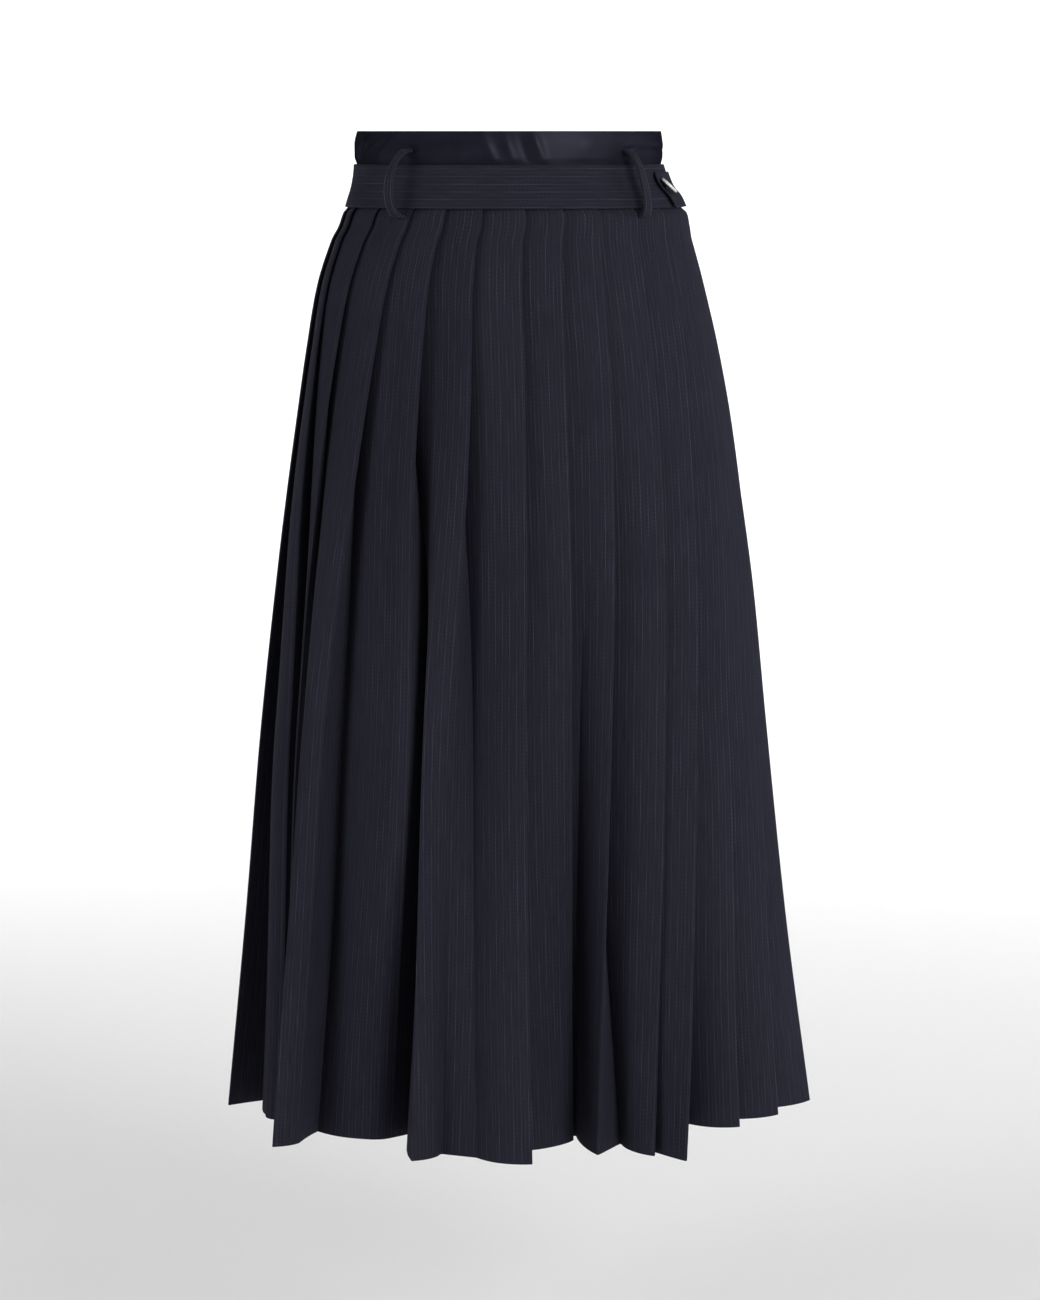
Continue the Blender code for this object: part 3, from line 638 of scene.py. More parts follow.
def shell(name, outer, inner, across, along, finish):
    """A closed wall. across and along hold the map at each face's four corners: first and next column."""
    rows, columns = outer.shape[:2]
    index = np.arange(rows * columns).reshape(rows, columns)
    skip = rows * columns
    first, last = across
    out_faces = corners(index[:-1, :-1], index[1:, :-1], index[1:, 1:], index[:-1, 1:]).reshape(-1, 4)
    u = corners(first[:-1], first[1:], last[1:], last[:-1]).reshape(-1, 4)
    v = corners(along[:-1, :-1], along[1:, :-1], along[1:, 1:], along[:-1, 1:]).reshape(-1, 4)
    faces = [out_faces, out_faces[:, ::-1] + skip]
    maps = [corners(u, v), corners(u, v)[:, ::-1]]
    for row, order in ((0, FORWARD), (rows - 1, BACKWARD)):
        start, end = index[row, :-1], index[row, 1:]
        here, there = along[row, :-1], along[row, 1:]
        u = corners(first[row], last[row], last[row], first[row])
        v = corners(here, there, there, here)
        faces.append(corners(start, end, end + skip, start + skip)[:, order])
        maps.append(corners(u, v)[:, order])
    for column, order in ((0, FORWARD), (columns - 1, BACKWARD)):
        start, end = index[:-1, column], index[1:, column]
        here, there = along[:-1, column], along[1:, column]
        side = first[:, 0] if column == 0 else last[:, -1]
        u = corners(side[:-1], side[:-1], side[1:], side[1:])
        v = corners(here, here, there, there)
        faces.append(corners(start, start + skip, end + skip, end)[:, order])
        maps.append(corners(u, v)[:, order])
    points = np.concatenate([outer.reshape(-1, 3), inner.reshape(-1, 3)])
    return cloth_object(name, points, np.concatenate(faces).tolist(), np.concatenate(maps), finish)


def triangles(item):
    return sum(len(face.vertices) - 2 for face in item.data.polygons)


def cloth_area(item):
    """Area of one side of a shell, square metres."""
    return sum(face.area for face in item.data.polygons) / 2


def declare(item, node, flat):
    """Attach a finished piece of cloth, hide the solid that it stands for, and print its size and the size
    it was cut to.
    """
    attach(item, "root")
    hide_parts(node)
    print(f"{item.name}: {triangles(item)} triangles, {cloth_area(item):.3f} m2 of cloth, cut {flat}")


# %% [markdown]
# ## Finish: worsted wool with pinstripes
# Worsted wool is smooth, matt and slightly hairy. It is woven as a twill, whose fine diagonal lines
# only show from near by. The yarns differ a little, which gives faint streaks along the cloth. A pin
# stripe is a single pale yarn that surfaces for a few weaves and dives again, so it shows as dashes.
# Every second stripe is weaker.
#
# The stripe mask and the streaks feed the colour. The twill and the slightly raised stripe yarn feed
# the bump.

# %% wool finish
STRIPE_PITCH = 6.2       # mm between strong stripes; a weak one lies midway
STRIPE_WIDTH = 0.32
STRIPE_STRENGTH = 0.42
WEAK_STRIPE = 0.35
DASH_PITCH = 3.4         # mm
DASH_ENDS = (0.42, 0.3)  # shares of the pitch from a dash's middle: where it is gone, and where full
DASH_DEPTH = 0.85        # how far a stripe fades between its dashes
DASH_SHUFFLE = 7.0       # each stripe's dashes are moved by a share of this many pitches
TWILL_PITCH, TWILL_LEAN = 0.55, 1.15
NAVY = (0.0125, 0.0125, 0.0205, 1.0)
NAVY_LIGHT = (0.0185, 0.0185, 0.0285, 1.0)
STRIPE_COLOUR = (0.12, 0.12, 0.16, 1.0)
SHEEN_COLOUR = (0.62, 0.64, 0.85, 1.0)
# Grains to a metre, across and along: yarn streaks, mixed fibres, soft clouds, and fading of the stripes.
STREAKS, HEATHER, CLOUDS, FADING = (900.0, 45.0), (2600.0, 1300.0), (9.0, 4.0), (160.0, 22.0)
WOOL_RELIEF = 0.00012    # m


def stripe_mask(finish, across, along, shift):
    """1 on a dashed line that repeats across the cloth. Each line has dashes of its own."""
    place = across / (STRIPE_PITCH * MM) + shift
    from_line = (place.math("FRACT") - 0.5).math("ABSOLUTE") * STRIPE_PITCH
    line = 1 - finish.smooth_step(from_line, STRIPE_WIDTH * 0.2, STRIPE_WIDTH * 0.8)
    own = finish.node("ShaderNodeTexWhiteNoise", {"noise_dimensions": "1D"}, {"W": place.math("FLOOR")})
    dash = (along / (DASH_PITCH * MM) + own * DASH_SHUFFLE).math("FRACT")
    lit = finish.smooth_step((dash - 0.5).math("ABSOLUTE"), *DASH_ENDS)
    return line * (lit * DASH_DEPTH + (1 - DASH_DEPTH))


def wool_finish():
    wool = Finish("navy pinstriped wool", Roughness=0.85, Sheen_Weight=0.05, Sheen_Roughness=0.4,
                  Sheen_Tint=SHEEN_COLOUR, Specular_IOR_Level=0.08)
    place = wool.node("ShaderNodeTexCoord", output="UV")
    across = wool.node("ShaderNodeSeparateXYZ", {}, {0: place})
    along = Socket(wool, across.output.node.outputs["Y"])
    strong = stripe_mask(wool, across, along, 0.0)
    weak = stripe_mask(wool, across, along, 0.5)
    uneven = wool.smooth_step(wool.noise(FADING, detail=3.0), 0.3, 0.75)
    stripes = (strong + weak * WEAK_STRIPE) * (uneven * 0.8 + 0.2)
    streaks = wool.noise(STREAKS, detail=3.0)
    heather = wool.noise(HEATHER, detail=1.0)
    cloudy = wool.noise(CLOUDS)
    shade = wool.smooth_step(streaks * 0.5 + heather * 0.3 + cloudy * 0.2, 0.3, 0.7)
    ground = wool.mix(shade, NAVY, NAVY_LIGHT)
    wool.feed("Base Color", wool.mix(stripes * STRIPE_STRENGTH, ground, STRIPE_COLOUR))
    twill = ((across + along * TWILL_LEAN) / (TWILL_PITCH * MM) * (2 * pi)).math("SINE")
    wool.bump(twill * 0.25 + heather * 0.5 + stripes * 0.6 + streaks * 0.4, WOOL_RELIEF, 0.6)
    return wool


wool = wool_finish()
print("finish:", wool.material.name, "with", len(wool.tree.nodes), "nodes")

# %% [markdown]
# ## The pleated wool
# The strip is made in two widths, which are joined inside an inner fold at each side, where no seam
# shows. Rows of the grid lie close together at the waist, where the pleats open, and near the hem,
# which ends in a rounded edge. A stripe keeps its distance from the outer fold of its own pleat, as
# it does in a skirt that is pleated along the grain. What the folds take away at the waist is lost in
# the depth of the inner folds.

# %% edges and rows
EDGE_TURNS = [radians(turn) for turn in (15, 40, 65, 90)]   # steps round a quarter of a folded edge
PLEAT_CLOTH = 99.0       # mm of cloth in one pleat, a whole number of stripes
WAIST_ROWS, WAIST_STEP = 14, 3.5
SKIRT_ROWS = 88


def folded_edge(wall):
    """Rows from a rounded edge inward: (distance from the edge, share of the full wall)."""
    return [(wall / 2 * (1 - cos(turn)), sin(turn)) for turn in EDGE_TURNS]


def edge_rows(top, foot, step, wall):
    """Heights from one rounded edge to the other, each with its share of the full wall."""
    head = [(top - depth, share) for depth, share in folded_edge(wall)]
    tail = [(foot + depth, share) for depth, share in reversed(folded_edge(wall))]
    count = max(2, round((head[-1][0] - tail[0][0]) / step))
    return head + [(z, 1.0) for z in np.linspace(head[-1][0], tail[0][0], count + 1)[1:-1]] + tail


def skirt_rows():
    """Heights of the skirt's rows: close together at the waist, where the pleats open."""
    near = [SKIRT_TOP - WAIST_STEP * i for i in range(WAIST_ROWS)]
    below = edge_rows(near[-1], HEM, (near[-1] - HEM) / SKIRT_ROWS, CLOTH)
    return [(z, 1.0) for z in near[:-1]] + below[len(EDGE_TURNS):]


def wall_sides(line, half):
    """The outer and inner face of a wall along a plan line, with half its thickness at each point."""
    before = np.vstack([line[:1], line[:-1]])
    after = np.vstack([line[1:], line[-1:]])
    along = after - before
    along /= np.linalg.norm(along, axis=1)[:, None]
    out = np.stack([along[:, 1], -along[:, 0]], axis=1) * half
    return line + out, line - out


def skirt_panel(name, first_fold, last_fold):
    """One width of the pleated strip, between the middles of two inner folds."""
    outer, inner, first_map, last_map, down = [], [], [], [], []
    for z, share in skirt_rows():
        line, middles = cloth_line(z)
        start, end = middles[first_fold][0], middles[last_fold][0] + 1
        points = np.array(line)
        run = np.concatenate([[0.0], np.cumsum(np.linalg.norm(np.diff(points, axis=0), axis=1))])
        anchors = [(i, run[i]) for i, kind in middles if kind == "outer"]
        inner_folds = [i for i, kind in middles if kind == "inner"]
        pleat = np.searchsorted(inner_folds, np.arange(start, end - 1), side="right") - 1
        zero = np.array([anchors[p][1] for p in pleat])
        base = pleat * PLEAT_CLOTH
        first_map.append(base + run[start:end - 1] - zero)
        last_map.append(base + run[start + 1:end] - zero)
        out, back = wall_sides(points[start:end], CLOTH / 2 * share)
        height = np.full((end - start, 1), z)
        outer.append(np.hstack([out, height]))
        inner.append(np.hstack([back, height]))
        down.append(np.full(end - start, SKIRT_TOP - z))
    return shell(name, np.array(outer), np.array(inner), (np.array(first_map), np.array(last_map)),
                 np.array(down), wool)


skirt_front = skirt_panel("wool_front", 0, 2 * FRONT_PLEATS)
skirt_back = skirt_panel("wool_back", 2 * FRONT_PLEATS, 2 * PLEATS)
declare(skirt_front, "skirt_front", (1.25, 0.78))
declare(skirt_back, "skirt_back", (1.05, 0.78))

# %% [markdown]
# ## Creases
# Cloth round a waist is never a clean oval. It puckers where a thread pulls, bulges where it is pushed,
# and keeps soft dents. A crease is a smooth hump or trough with its own place, length and lean. Each
# band has a table of its own, and the tab follows the waistband's, so that it lies along the band.

# %% creases
# Where each lies, how far it reaches both ways, how many degrees it moves for each mm up, how many mm
# it climbs for each degree, and how far it stands out.
Crease = namedtuple("Crease", "angle z breadth tall lean climb out")


def creases_out(creases, angle, z):
    """How far the creases push a surface out at one place, mm."""
    total = 0.0
    for row in creases:
        aside = (angle - row.angle + 180) % 360 - 180
        across = (aside - row.lean * (z - row.z)) / row.breadth
        up = (z - row.z - row.climb * aside) / row.tall
        total += row.out * exp(-2 * (across * across + up * up))
    return total


# %% half a band round the waist
SIDES = {"front": (-90.0, 90.0), "back": (90.0, 270.0)}


def band(name, side, form, rows, wall, step, out, finish):
    """Half of a band. Its map runs down the band and then round it, so that stripes lie level."""
    start, end = SIDES[side]
    count = round((end - start) / step)
    outer, inner, down = [], [], []
    for z, share in rows:
        section = form_at(form, z)
        trim = degrees(SEWN / 2 / section.half_width)
        angles = np.linspace(start + trim, end - trim, count + 1)
        near, far = wall * (1 - share) / 2, wall * (1 + share) / 2
        outer.append([(*on_form(section, a, near - out(a, z)), z) for a in angles])
        inner.append([(*on_form(section, a, far - out(a, z)), z) for a in angles])
        down.append(np.full(count, rows[0][0] - z))
    middle = np.array(outer[len(rows) // 2])
    round_it = np.concatenate([[0.0], np.cumsum(np.linalg.norm(np.diff(middle, axis=0), axis=1))])
    return shell(name, np.array(outer), np.array(inner), (np.array(down), np.array(down)),
                 np.tile(round_it, (len(rows), 1)), finish)


# %% [markdown]
# ## Waistband
# The waistband is a strip of the same wool, folded over a stiffener. It is cut across the cloth, so
# its pinstripes run level. A stiffener keeps it smooth, with only shallow dents, and both edges are
# folds, so they are round.

# %% waistband
WAIST_CREASES = [
    Crease(-33, 0, 8, 30, 0.0, 0.0, -0.9), Crease(-62, 11, 7, 9, -0.3, 0.0, 0.7),
    Crease(-5, -4, 14, 22, 0.1, 0.0, 0.4), Crease(22, 6, 12, 20, -0.2, 0.0, -0.5),
    Crease(40, -6, 6, 20, 0.1, 0.0, 0.5), Crease(61, 3, 7, 24, 0.0, 0.0, 0.5),
    Crease(118, 0, 15, 25, 0.0, 0.0, -0.6), Crease(160, 4, 12, 20, 0.2, 0.0, 0.5),
    Crease(196, -4, 10, 22, 0.1, 0.0, -0.6), Crease(244, 2, 14, 22, -0.2, 0.0, 0.5),
]
WAIST_GRID = 1.5         # degrees, and mm


def waist_out(angle, z):
    return creases_out(WAIST_CREASES, angle, z)


for side in SIDES:
    heights = edge_rows(BAND_TOP, BAND_FOOT, WAIST_GRID, BAND_WALL)
    waistband = band("band_" + side, side, BAND_FORM, heights, BAND_WALL, WAIST_GRID, waist_out, wool)
    declare(waistband, "waistband_" + side, (0.37, 0.036))

# %% [markdown]
# ## Finish: satin
# Satin shows long floating yarns, so it is smooth and glossy, and every small slope reads as a light
# or a dark patch. Its weave is far too fine to see. A weak relief of long threads breaks the highlight
# up a little, and the gloss varies where the cloth was handled.

# %% satin finish
SATIN_NAVY = (0.0125, 0.0125, 0.021, 1.0)
SATIN_DEEP = (0.009, 0.0095, 0.0155, 1.0)
SATIN_GLOSS = (0.78, 0.76, 1.0, 1.0)
SATIN_CLOUDS, SATIN_THREADS = (60.0, 25.0), (4200.0, 160.0)   # grains to a metre, across and along
SATIN_ROUGH, SATIN_UNEVEN = 0.36, 0.12
SATIN_RELIEF = 0.00006   # m


def satin_finish():
    satin = Finish("navy satin", Specular_IOR_Level=0.14, Specular_Tint=SATIN_GLOSS)
    cloudy = satin.noise(SATIN_CLOUDS)
    threads = satin.noise(SATIN_THREADS)
    satin.feed("Base Color", satin.mix(satin.smooth_step(cloudy, 0.3, 0.7), SATIN_DEEP, SATIN_NAVY))
    satin.feed("Roughness", cloudy * SATIN_UNEVEN + SATIN_ROUGH)
    satin.bump(threads + cloudy * 3.0, SATIN_RELIEF, 0.5)
    return satin


satin = satin_finish()

# %% [markdown]
# ## Satin facing
# The facing is a strip of satin that stands up inside the waistband. Its own edge only just holds it
# up, so it ripples. Where a belt loop passes through a slit, the satin dips into the slit and a pucker
# runs away from it.

# %% satin facing
SATIN_CREASES = [
    Crease(-60, 36, 9, 16, 0.0, 0.0, 1.5), Crease(-40, 36, 7, 16, 0.0, 0.0, -1.2),
    Crease(-20, 36, 8, 16, 0.0, 0.0, 1.0), Crease(6, 36, 8, 16, 0.0, 0.0, 0.9),
    Crease(29, 34, 8, 16, 0.0, 0.0, 1.2), Crease(48, 36, 7, 16, 0.0, 0.0, -1.3),
    Crease(68, 36, 8, 16, 0.0, 0.0, 1.2), Crease(102, 36, 9, 16, 0.0, 0.0, -1.0),
    Crease(126, 36, 8, 16, 0.0, 0.0, 1.1), Crease(150, 36, 9, 16, 0.0, 0.0, 1.2),
    Crease(176, 36, 8, 16, 0.0, 0.0, -0.8), Crease(199, 36, 8, 16, 0.0, 0.0, 1.2),
    Crease(221, 36, 7, 16, 0.0, 0.0, -1.1), Crease(246, 36, 9, 16, 0.0, 0.0, 1.1),
    Crease(-7.2, 31, 3.0, 24, -0.19, 0.0, 2.0), Crease(0.2, 30, 2.2, 22, -0.16, 0.0, 1.3),
    Crease(5.8, 30, 2.6, 22, -0.15, 0.0, -1.2), Crease(11.0, 31, 2.8, 24, -0.15, 0.0, 1.8),
    Crease(-52, 30, 2.4, 16, 0.5, 0.0, 2.0), Crease(-63, 27, 3.4, 14, 0.9, 0.0, 2.2),
    Crease(-73, 28, 4.0, 16, 0.3, 0.0, -1.6), Crease(-29, 21, 2.6, 6, 0.0, 0.0, 1.2),
    Crease(-18, 23, 3.2, 7, 0.2, 0.0, 1.2),
    Crease(-37.6, 30.5, 3.2, 3.0, 0.0, 0.0, -1.8), Crease(51.0, 30.0, 3.4, 2.4, 0.0, 0.0, -1.8),
    Crease(70, 30.4, 20, 1.5, 0.0, -0.07, -1.7), Crease(70, 34.5, 20, 3.2, 0.0, -0.07, 1.0),
    Crease(112, 30, 2.4, 16, -0.2, 0.0, 1.0), Crease(145, 29, 2.2, 15, 0.3, 0.0, 1.1),
    Crease(168, 31, 2.8, 18, -0.2, 0.0, 1.2), Crease(190, 30, 2.2, 16, 0.2, 0.0, 1.1),
    Crease(212, 29, 2.6, 15, 0.3, 0.0, 1.0), Crease(238, 30, 2.4, 16, -0.3, 0.0, 1.2),
]
RISE_FOOT, RISE = 18.0, 4.0   # mm: the ripples begin above the waistband, and are full this much higher
SATIN_GRID = 0.75


def satin_out(angle, z):
    rise = min(max((z - RISE_FOOT) / RISE, 0.0), 1.0)
    return rise * creases_out(SATIN_CREASES, angle, z)


for side in SIDES:
    heights = edge_rows(SATIN_TOP, SATIN_FOOT, SATIN_GRID, SATIN_WALL)
    facing = band("facing_" + side, side, SATIN_FORM, heights, SATIN_WALL, SATIN_GRID, satin_out, satin)
    declare(facing, "satin_" + side, (0.36, 0.07))

# %% [markdown]
# ## Button tab
# The back waistband runs on past the side seam and laps over the front one, as a tab. It is a little
# narrower than the band, its upper corner is rounded, and its free end springs a few millimetres off
# the band.

# %% button tab
TAB_WALL = 1.6
TAB_TOP, TAB_FOOT = 11.5, -17.5
TAB_TIP = (61.5, 66.0)   # degrees: the free end, at its top and foot
TAB_ROOT = 90.0          # the side seam
TAB_CORNER = 10.0        # radius
TAB_LIFT, TAB_SPRING = 3.0, 16.0   # how far the free end stands off, and over what length
TAB_GRID = 1.5


def tab_gap(reach):
    """Gap between the tab and the band at a distance from the tab's free end, mm."""
    return SEAM + TAB_LIFT * max(0.0, 1 - reach / TAB_SPRING) ** 2


def tab_place(reach, drop, length):
    """Angle, height and gap of one point: reach from the free end, drop from the tab's upper edge."""
    short = max(0.0, TAB_CORNER - reach)
    top = TAB_TOP - (TAB_CORNER - sqrt(TAB_CORNER ** 2 - short ** 2))
    z = top - drop * (top - TAB_FOOT) / (TAB_TOP - TAB_FOOT)
    tip = TAB_TIP[0] + (TAB_TIP[1] - TAB_TIP[0]) * (TAB_TOP - z) / (TAB_TOP - TAB_FOOT)
    return tip + (TAB_ROOT - tip) * min(reach / length, 1.0), z, tab_gap(reach)


def button_tab():
    length = radians(TAB_ROOT - TAB_TIP[0]) * form_at(BAND_FORM, 0).half_width
    rows = edge_rows(TAB_TOP, TAB_FOOT, TAB_GRID, TAB_WALL)
    end = folded_edge(TAB_WALL)
    inward = np.linspace(end[-1][0], length, round(length / TAB_GRID))[1:]
    reaches = end + [(reach, 1.0) for reach in inward]
    outer, inner, down, around = [], [], [], []
    for height, row_share in rows:
        far, near = [], []
        for reach, end_share in reaches:
            angle, z, gap = tab_place(reach, TAB_TOP - height, length)
            section = form_at(BAND_FORM, z)
            out, share = waist_out(angle, z) + gap, min(row_share, end_share)
            far.append((*on_form(section, angle, -out - TAB_WALL * (1 + share) / 2), z))
            near.append((*on_form(section, angle, -out - TAB_WALL * (1 - share) / 2), z))
        outer.append(far)
        inner.append(near)
        down.append(np.full(len(reaches) - 1, TAB_TOP - height))
        around.append([reach for reach, _ in reaches])
    return shell("tab", np.array(outer), np.array(inner), (np.array(down), np.array(down)),
                 np.array(around), wool)


tab = button_tab()
declare(tab, "button_tab", (0.062, 0.03))

# %% [markdown]
# ## Belt loops
# A belt loop is a narrow strip, folded so that its raw edges are inside and stitched along both edges.
# The stitching sinks two fine channels into it. A loop leaves its slit square to the satin, bows out
# over the waistband as if a belt were in it, and is turned under at its foot.

# %% strips and cords from rings of points
def tube(name, rings, around, along, finish):
    """A closed piece through rings of points. around holds one value more than a ring has points."""
    count, size = rings.shape[:2]
    index = np.arange(count * size).reshape(count, size)
    after = np.roll(index, -1, axis=1)
    faces = corners(index[:-1], after[:-1], after[1:], index[1:]).reshape(-1, 4).tolist()
    faces += [index[0, ::-1].tolist(), index[-1].tolist()]
    u = np.tile(corners(around[:-1], around[1:], around[1:], around[:-1]), (count - 1, 1, 1)).reshape(-1)
    v = np.repeat(corners(along[:-1], along[:-1], along[1:], along[1:]), size, axis=0).reshape(-1)
    end_places = np.zeros((2 * size, 2))
    places = np.concatenate([corners(u, v), end_places])
    return cloth_object(name, rings.reshape(-1, 3), faces, places, finish)


# %% belt loops
# swing turns the whole bow to one side. The strip itself twists: by turn_mid at its middle, and by
# turn_top more in its upper half. All in degrees.
Loop = namedtuple("Loop", "top_angle foot_angle top foot bow swing turn_mid turn_top")
LOOPS = {
    "loop_front_right": Loop(-39.4, -40.0, 29.0, -24.5, 18.0, -13.0, -3.0, -30.0),
    "loop_front_left": Loop(49.0, 46.4, 28.5, -23.7, 13.0, -4.0, 11.0, 14.0),
    "loop_back_left": Loop(138.0, 139.5, 28.0, -24.5, 16.0, 5.0, 4.0, -12.0),
    "loop_back_right": Loop(222.0, 221.0, 28.0, -24.5, 16.5, -6.0, -5.0, 10.0),
}
LOOP_WIDTH, LOOP_WALL, LOOP_CORNER = 9.2, 2.6, 1.1
LOOP_STEPS = 64
LOOP_FULL = 0.85         # power: fuller than a plain arc
LOOP_CLEAR = SEAM + 0.3  # between a loop's end and the cloth that it is sewn to
TOP_REACH, FOOT_REACH = 2.5, 2.4   # degrees: how far round each end the cloth's highest place is looked for
CHANNEL = 3.2            # mm from the loop's middle line to its stitching
CHANNEL_DEPTH, CHANNEL_WIDTH = 0.3, 0.45
FACE_POINTS, CORNER_POINTS = 25, 5
Spine = namedtuple("Spine", "spots widths across run")


def outward(form, angle, z):
    """Direction square to a form's surface, outward."""
    def spot(turn, height):
        return Vector((*on_form(form_at(form, height), turn), height))
    down = spot(angle, z - 2) - spot(angle, z + 2)
    round_it = spot(angle + 1, z) - spot(angle - 1, z)
    return down.cross(round_it).normalized()


def skirt_inset(angle, z, spread):
    """How deep the outermost layer of wool lies inside the form, at its highest over a small width."""
    folds = folds_at(z)
    turned = (angle + 180) % 360 - 180 if angle > folds[-1][1] else angle
    insets = []
    for (_, first, start), (_, last, end) in zip(folds, folds[1:]):
        for spot in (turned - spread, turned, turned + spread):
            if min(first, last) <= spot <= max(first, last):
                insets.append(start + (end - start) * (spot - first) / (last - first) - HALF_FOLD)
    return max(min(insets), 0.0)


def loop_spine(loop):
    """The middle line of one loop, with the directions of its width and its outer face."""
    satin_top, wool_foot = form_at(SATIN_FORM, loop.top), form_at(SKIRT_FORM, loop.foot)
    ripple = max(satin_out(loop.top_angle + aside, loop.top) for aside in (-TOP_REACH, 0, TOP_REACH))
    top = Vector((*on_form(satin_top, loop.top_angle, -LOOP_CLEAR - max(ripple, 0.0)), loop.top))
    sink = skirt_inset(loop.foot_angle, loop.foot, FOOT_REACH)
    foot = Vector((*on_form(wool_foot, loop.foot_angle, sink - LOOP_CLEAR), loop.foot))
    square = outward(BAND_FORM, (loop.top_angle + loop.foot_angle) / 2, 0.0)
    square.z = 0.0
    square.normalize()
    spots, widths = [], []
    for i in range(LOOP_STEPS + 1):
        turn = pi * i / LOOP_STEPS
        out = Matrix.Rotation(radians(loop.swing) * sin(turn), 3, "Z") @ square
        spots.append(top.lerp(foot, (1 - cos(turn)) / 2) + out * loop.bow * sin(turn) ** LOOP_FULL)
        twist = loop.turn_mid * sin(turn) + loop.turn_top * max(sin(2 * turn), 0.0)
        widths.append(Vector((0.0, 0.0, 1.0)).cross(Matrix.Rotation(radians(twist), 3, "Z") @ square))
    ways = [spots[min(i + 1, LOOP_STEPS)] - spots[max(i - 1, 0)] for i in range(LOOP_STEPS + 1)]
    ways[0] = square
    ways[-1] = -outward(SKIRT_FORM, loop.foot_angle, loop.foot)
    run = [0.0]
    for a, b in zip(spots, spots[1:]):
        run.append(run[-1] + (b - a).length)
    return Spine(spots, widths, [w.cross(way).normalized() for w, way in zip(widths, ways)], run)


def loop_outline():
    """The strip's cross-section, with a stitched channel near each edge of its outer face."""
    half, thick = LOOP_WIDTH / 2, LOOP_WALL / 2
    flat = half - LOOP_CORNER
    corner = [(flat + LOOP_CORNER * sin(turn), thick - LOOP_CORNER * (1 - cos(turn)))
              for turn in np.linspace(0, pi / 2, CORNER_POINTS)]
    outer = []
    for u in np.linspace(-flat, flat, FACE_POINTS)[1:-1]:
        sunk = CHANNEL_DEPTH * exp(-((abs(u) - CHANNEL) / CHANNEL_WIDTH) ** 2)
        outer.append((u, thick - sunk))
    right = corner + [(u, -v) for u, v in reversed(corner)]
    return outer + right + [(-u, v) for u, v in reversed(right)]


def belt_loop(name, spine):
    outline = loop_outline()
    rings = np.array([[spot + width * u - across * v for u, v in outline]
                      for spot, width, across in zip(spine.spots, spine.widths, spine.across)])
    steps = [hypot(b[0] - a[0], b[1] - a[1]) for a, b in zip(outline, outline[1:] + outline[:1])]
    around = np.concatenate([[0.0], np.cumsum(steps)]) - (CHANNEL - STRIPE_PITCH / 2)
    return tube(name.replace("loop", "beltloop"), rings, around, np.array(spine.run), wool)


SPINES = {name: loop_spine(loop) for name, loop in LOOPS.items()}
for name, spine in SPINES.items():
    cut = (round((LOOP_WIDTH + LOOP_WALL) * MM, 4), round(spine.run[-1] * MM, 4))
    declare(belt_loop(name, spine), name, cut)

# %% [markdown]
# ## Stitches
# A sewing machine lays the same short stitch again and again, so one stitch is modelled, and Geometry
# Nodes repeats it along a guide line. The tree steps along the line, turns each stitch the way the line
# goes, and makes it a little longer or shorter than the last. Real thread never lies quite evenly.

# %% thread finish and one stitch
THREAD = 0.24            # mm: half the thickness of a stitch
STITCH_PITCH, STITCH_LENGTH = 2.4, 2.1
STITCH_SIDES = 6
STITCH_RINGS = (-1.0, -0.65, 0.0, 0.65, 1.0)   # shares of half its length
STITCH_BLUNT = 1.08      # over 1, so that its ends keep some thickness
THREAD_DARK, THREAD_PALE = (0.045, 0.045, 0.066, 1.0), (0.085, 0.085, 0.115, 1.0)


def thread_finish():
    thread = Finish("navy thread", Specular_IOR_Level=0.3, Roughness=0.55, Sheen_Weight=0.1)
    place = thread.node("ShaderNodeTexCoord", output="Object")
    twist = thread.node("ShaderNodeTexNoise", {}, {"Vector": place, "Scale": 1800.0, "Detail": 1.0})
    thread.feed("Base Color", thread.mix(twist, THREAD_DARK, THREAD_PALE))
    return thread


def join_rings(bm, rings):
    """Four-sided faces between neighbouring rings of points, and one face over each end."""
    for low, high in zip(rings, rings[1:]):
        for i in range(len(low)):
            j = (i + 1) % len(low)
            bm.faces.new((low[i], low[j], high[j], high[i]))
    bm.faces.new(list(reversed(rings[0])))
    bm.faces.new(rings[-1])


def mesh_from(bm, name):
    mesh = bpy.data.meshes.new(name)
    bm.to_mesh(mesh)
    bm.free()
    return mesh


def one_stitch():
    """A stitch that lies along X: thick in its middle, and drawn down into the cloth at both ends."""
    bm = bmesh.new()
    rings = []
    for share in STITCH_RINGS:
        size = THREAD * sqrt(STITCH_BLUNT - share * share)
        drop = -THREAD * share * share
        rings.append([bm.verts.new((share * STITCH_LENGTH / 2, size * cos(2 * pi * i / STITCH_SIDES),
                                    drop + size * sin(2 * pi * i / STITCH_SIDES)))
                      for i in range(STITCH_SIDES)])
    join_rings(bm, rings)
    bmesh.ops.scale(bm, vec=(MM, MM, MM), verts=bm.verts)
    bmesh.ops.recalc_face_normals(bm, faces=bm.faces)
    mesh = mesh_from(bm, "one stitch")
    mesh.shade_smooth()
    return new_object("one stitch", mesh)


thread = thread_finish()
stitch = one_stitch()
print("one stitch:", len(stitch.data.polygons), "faces")


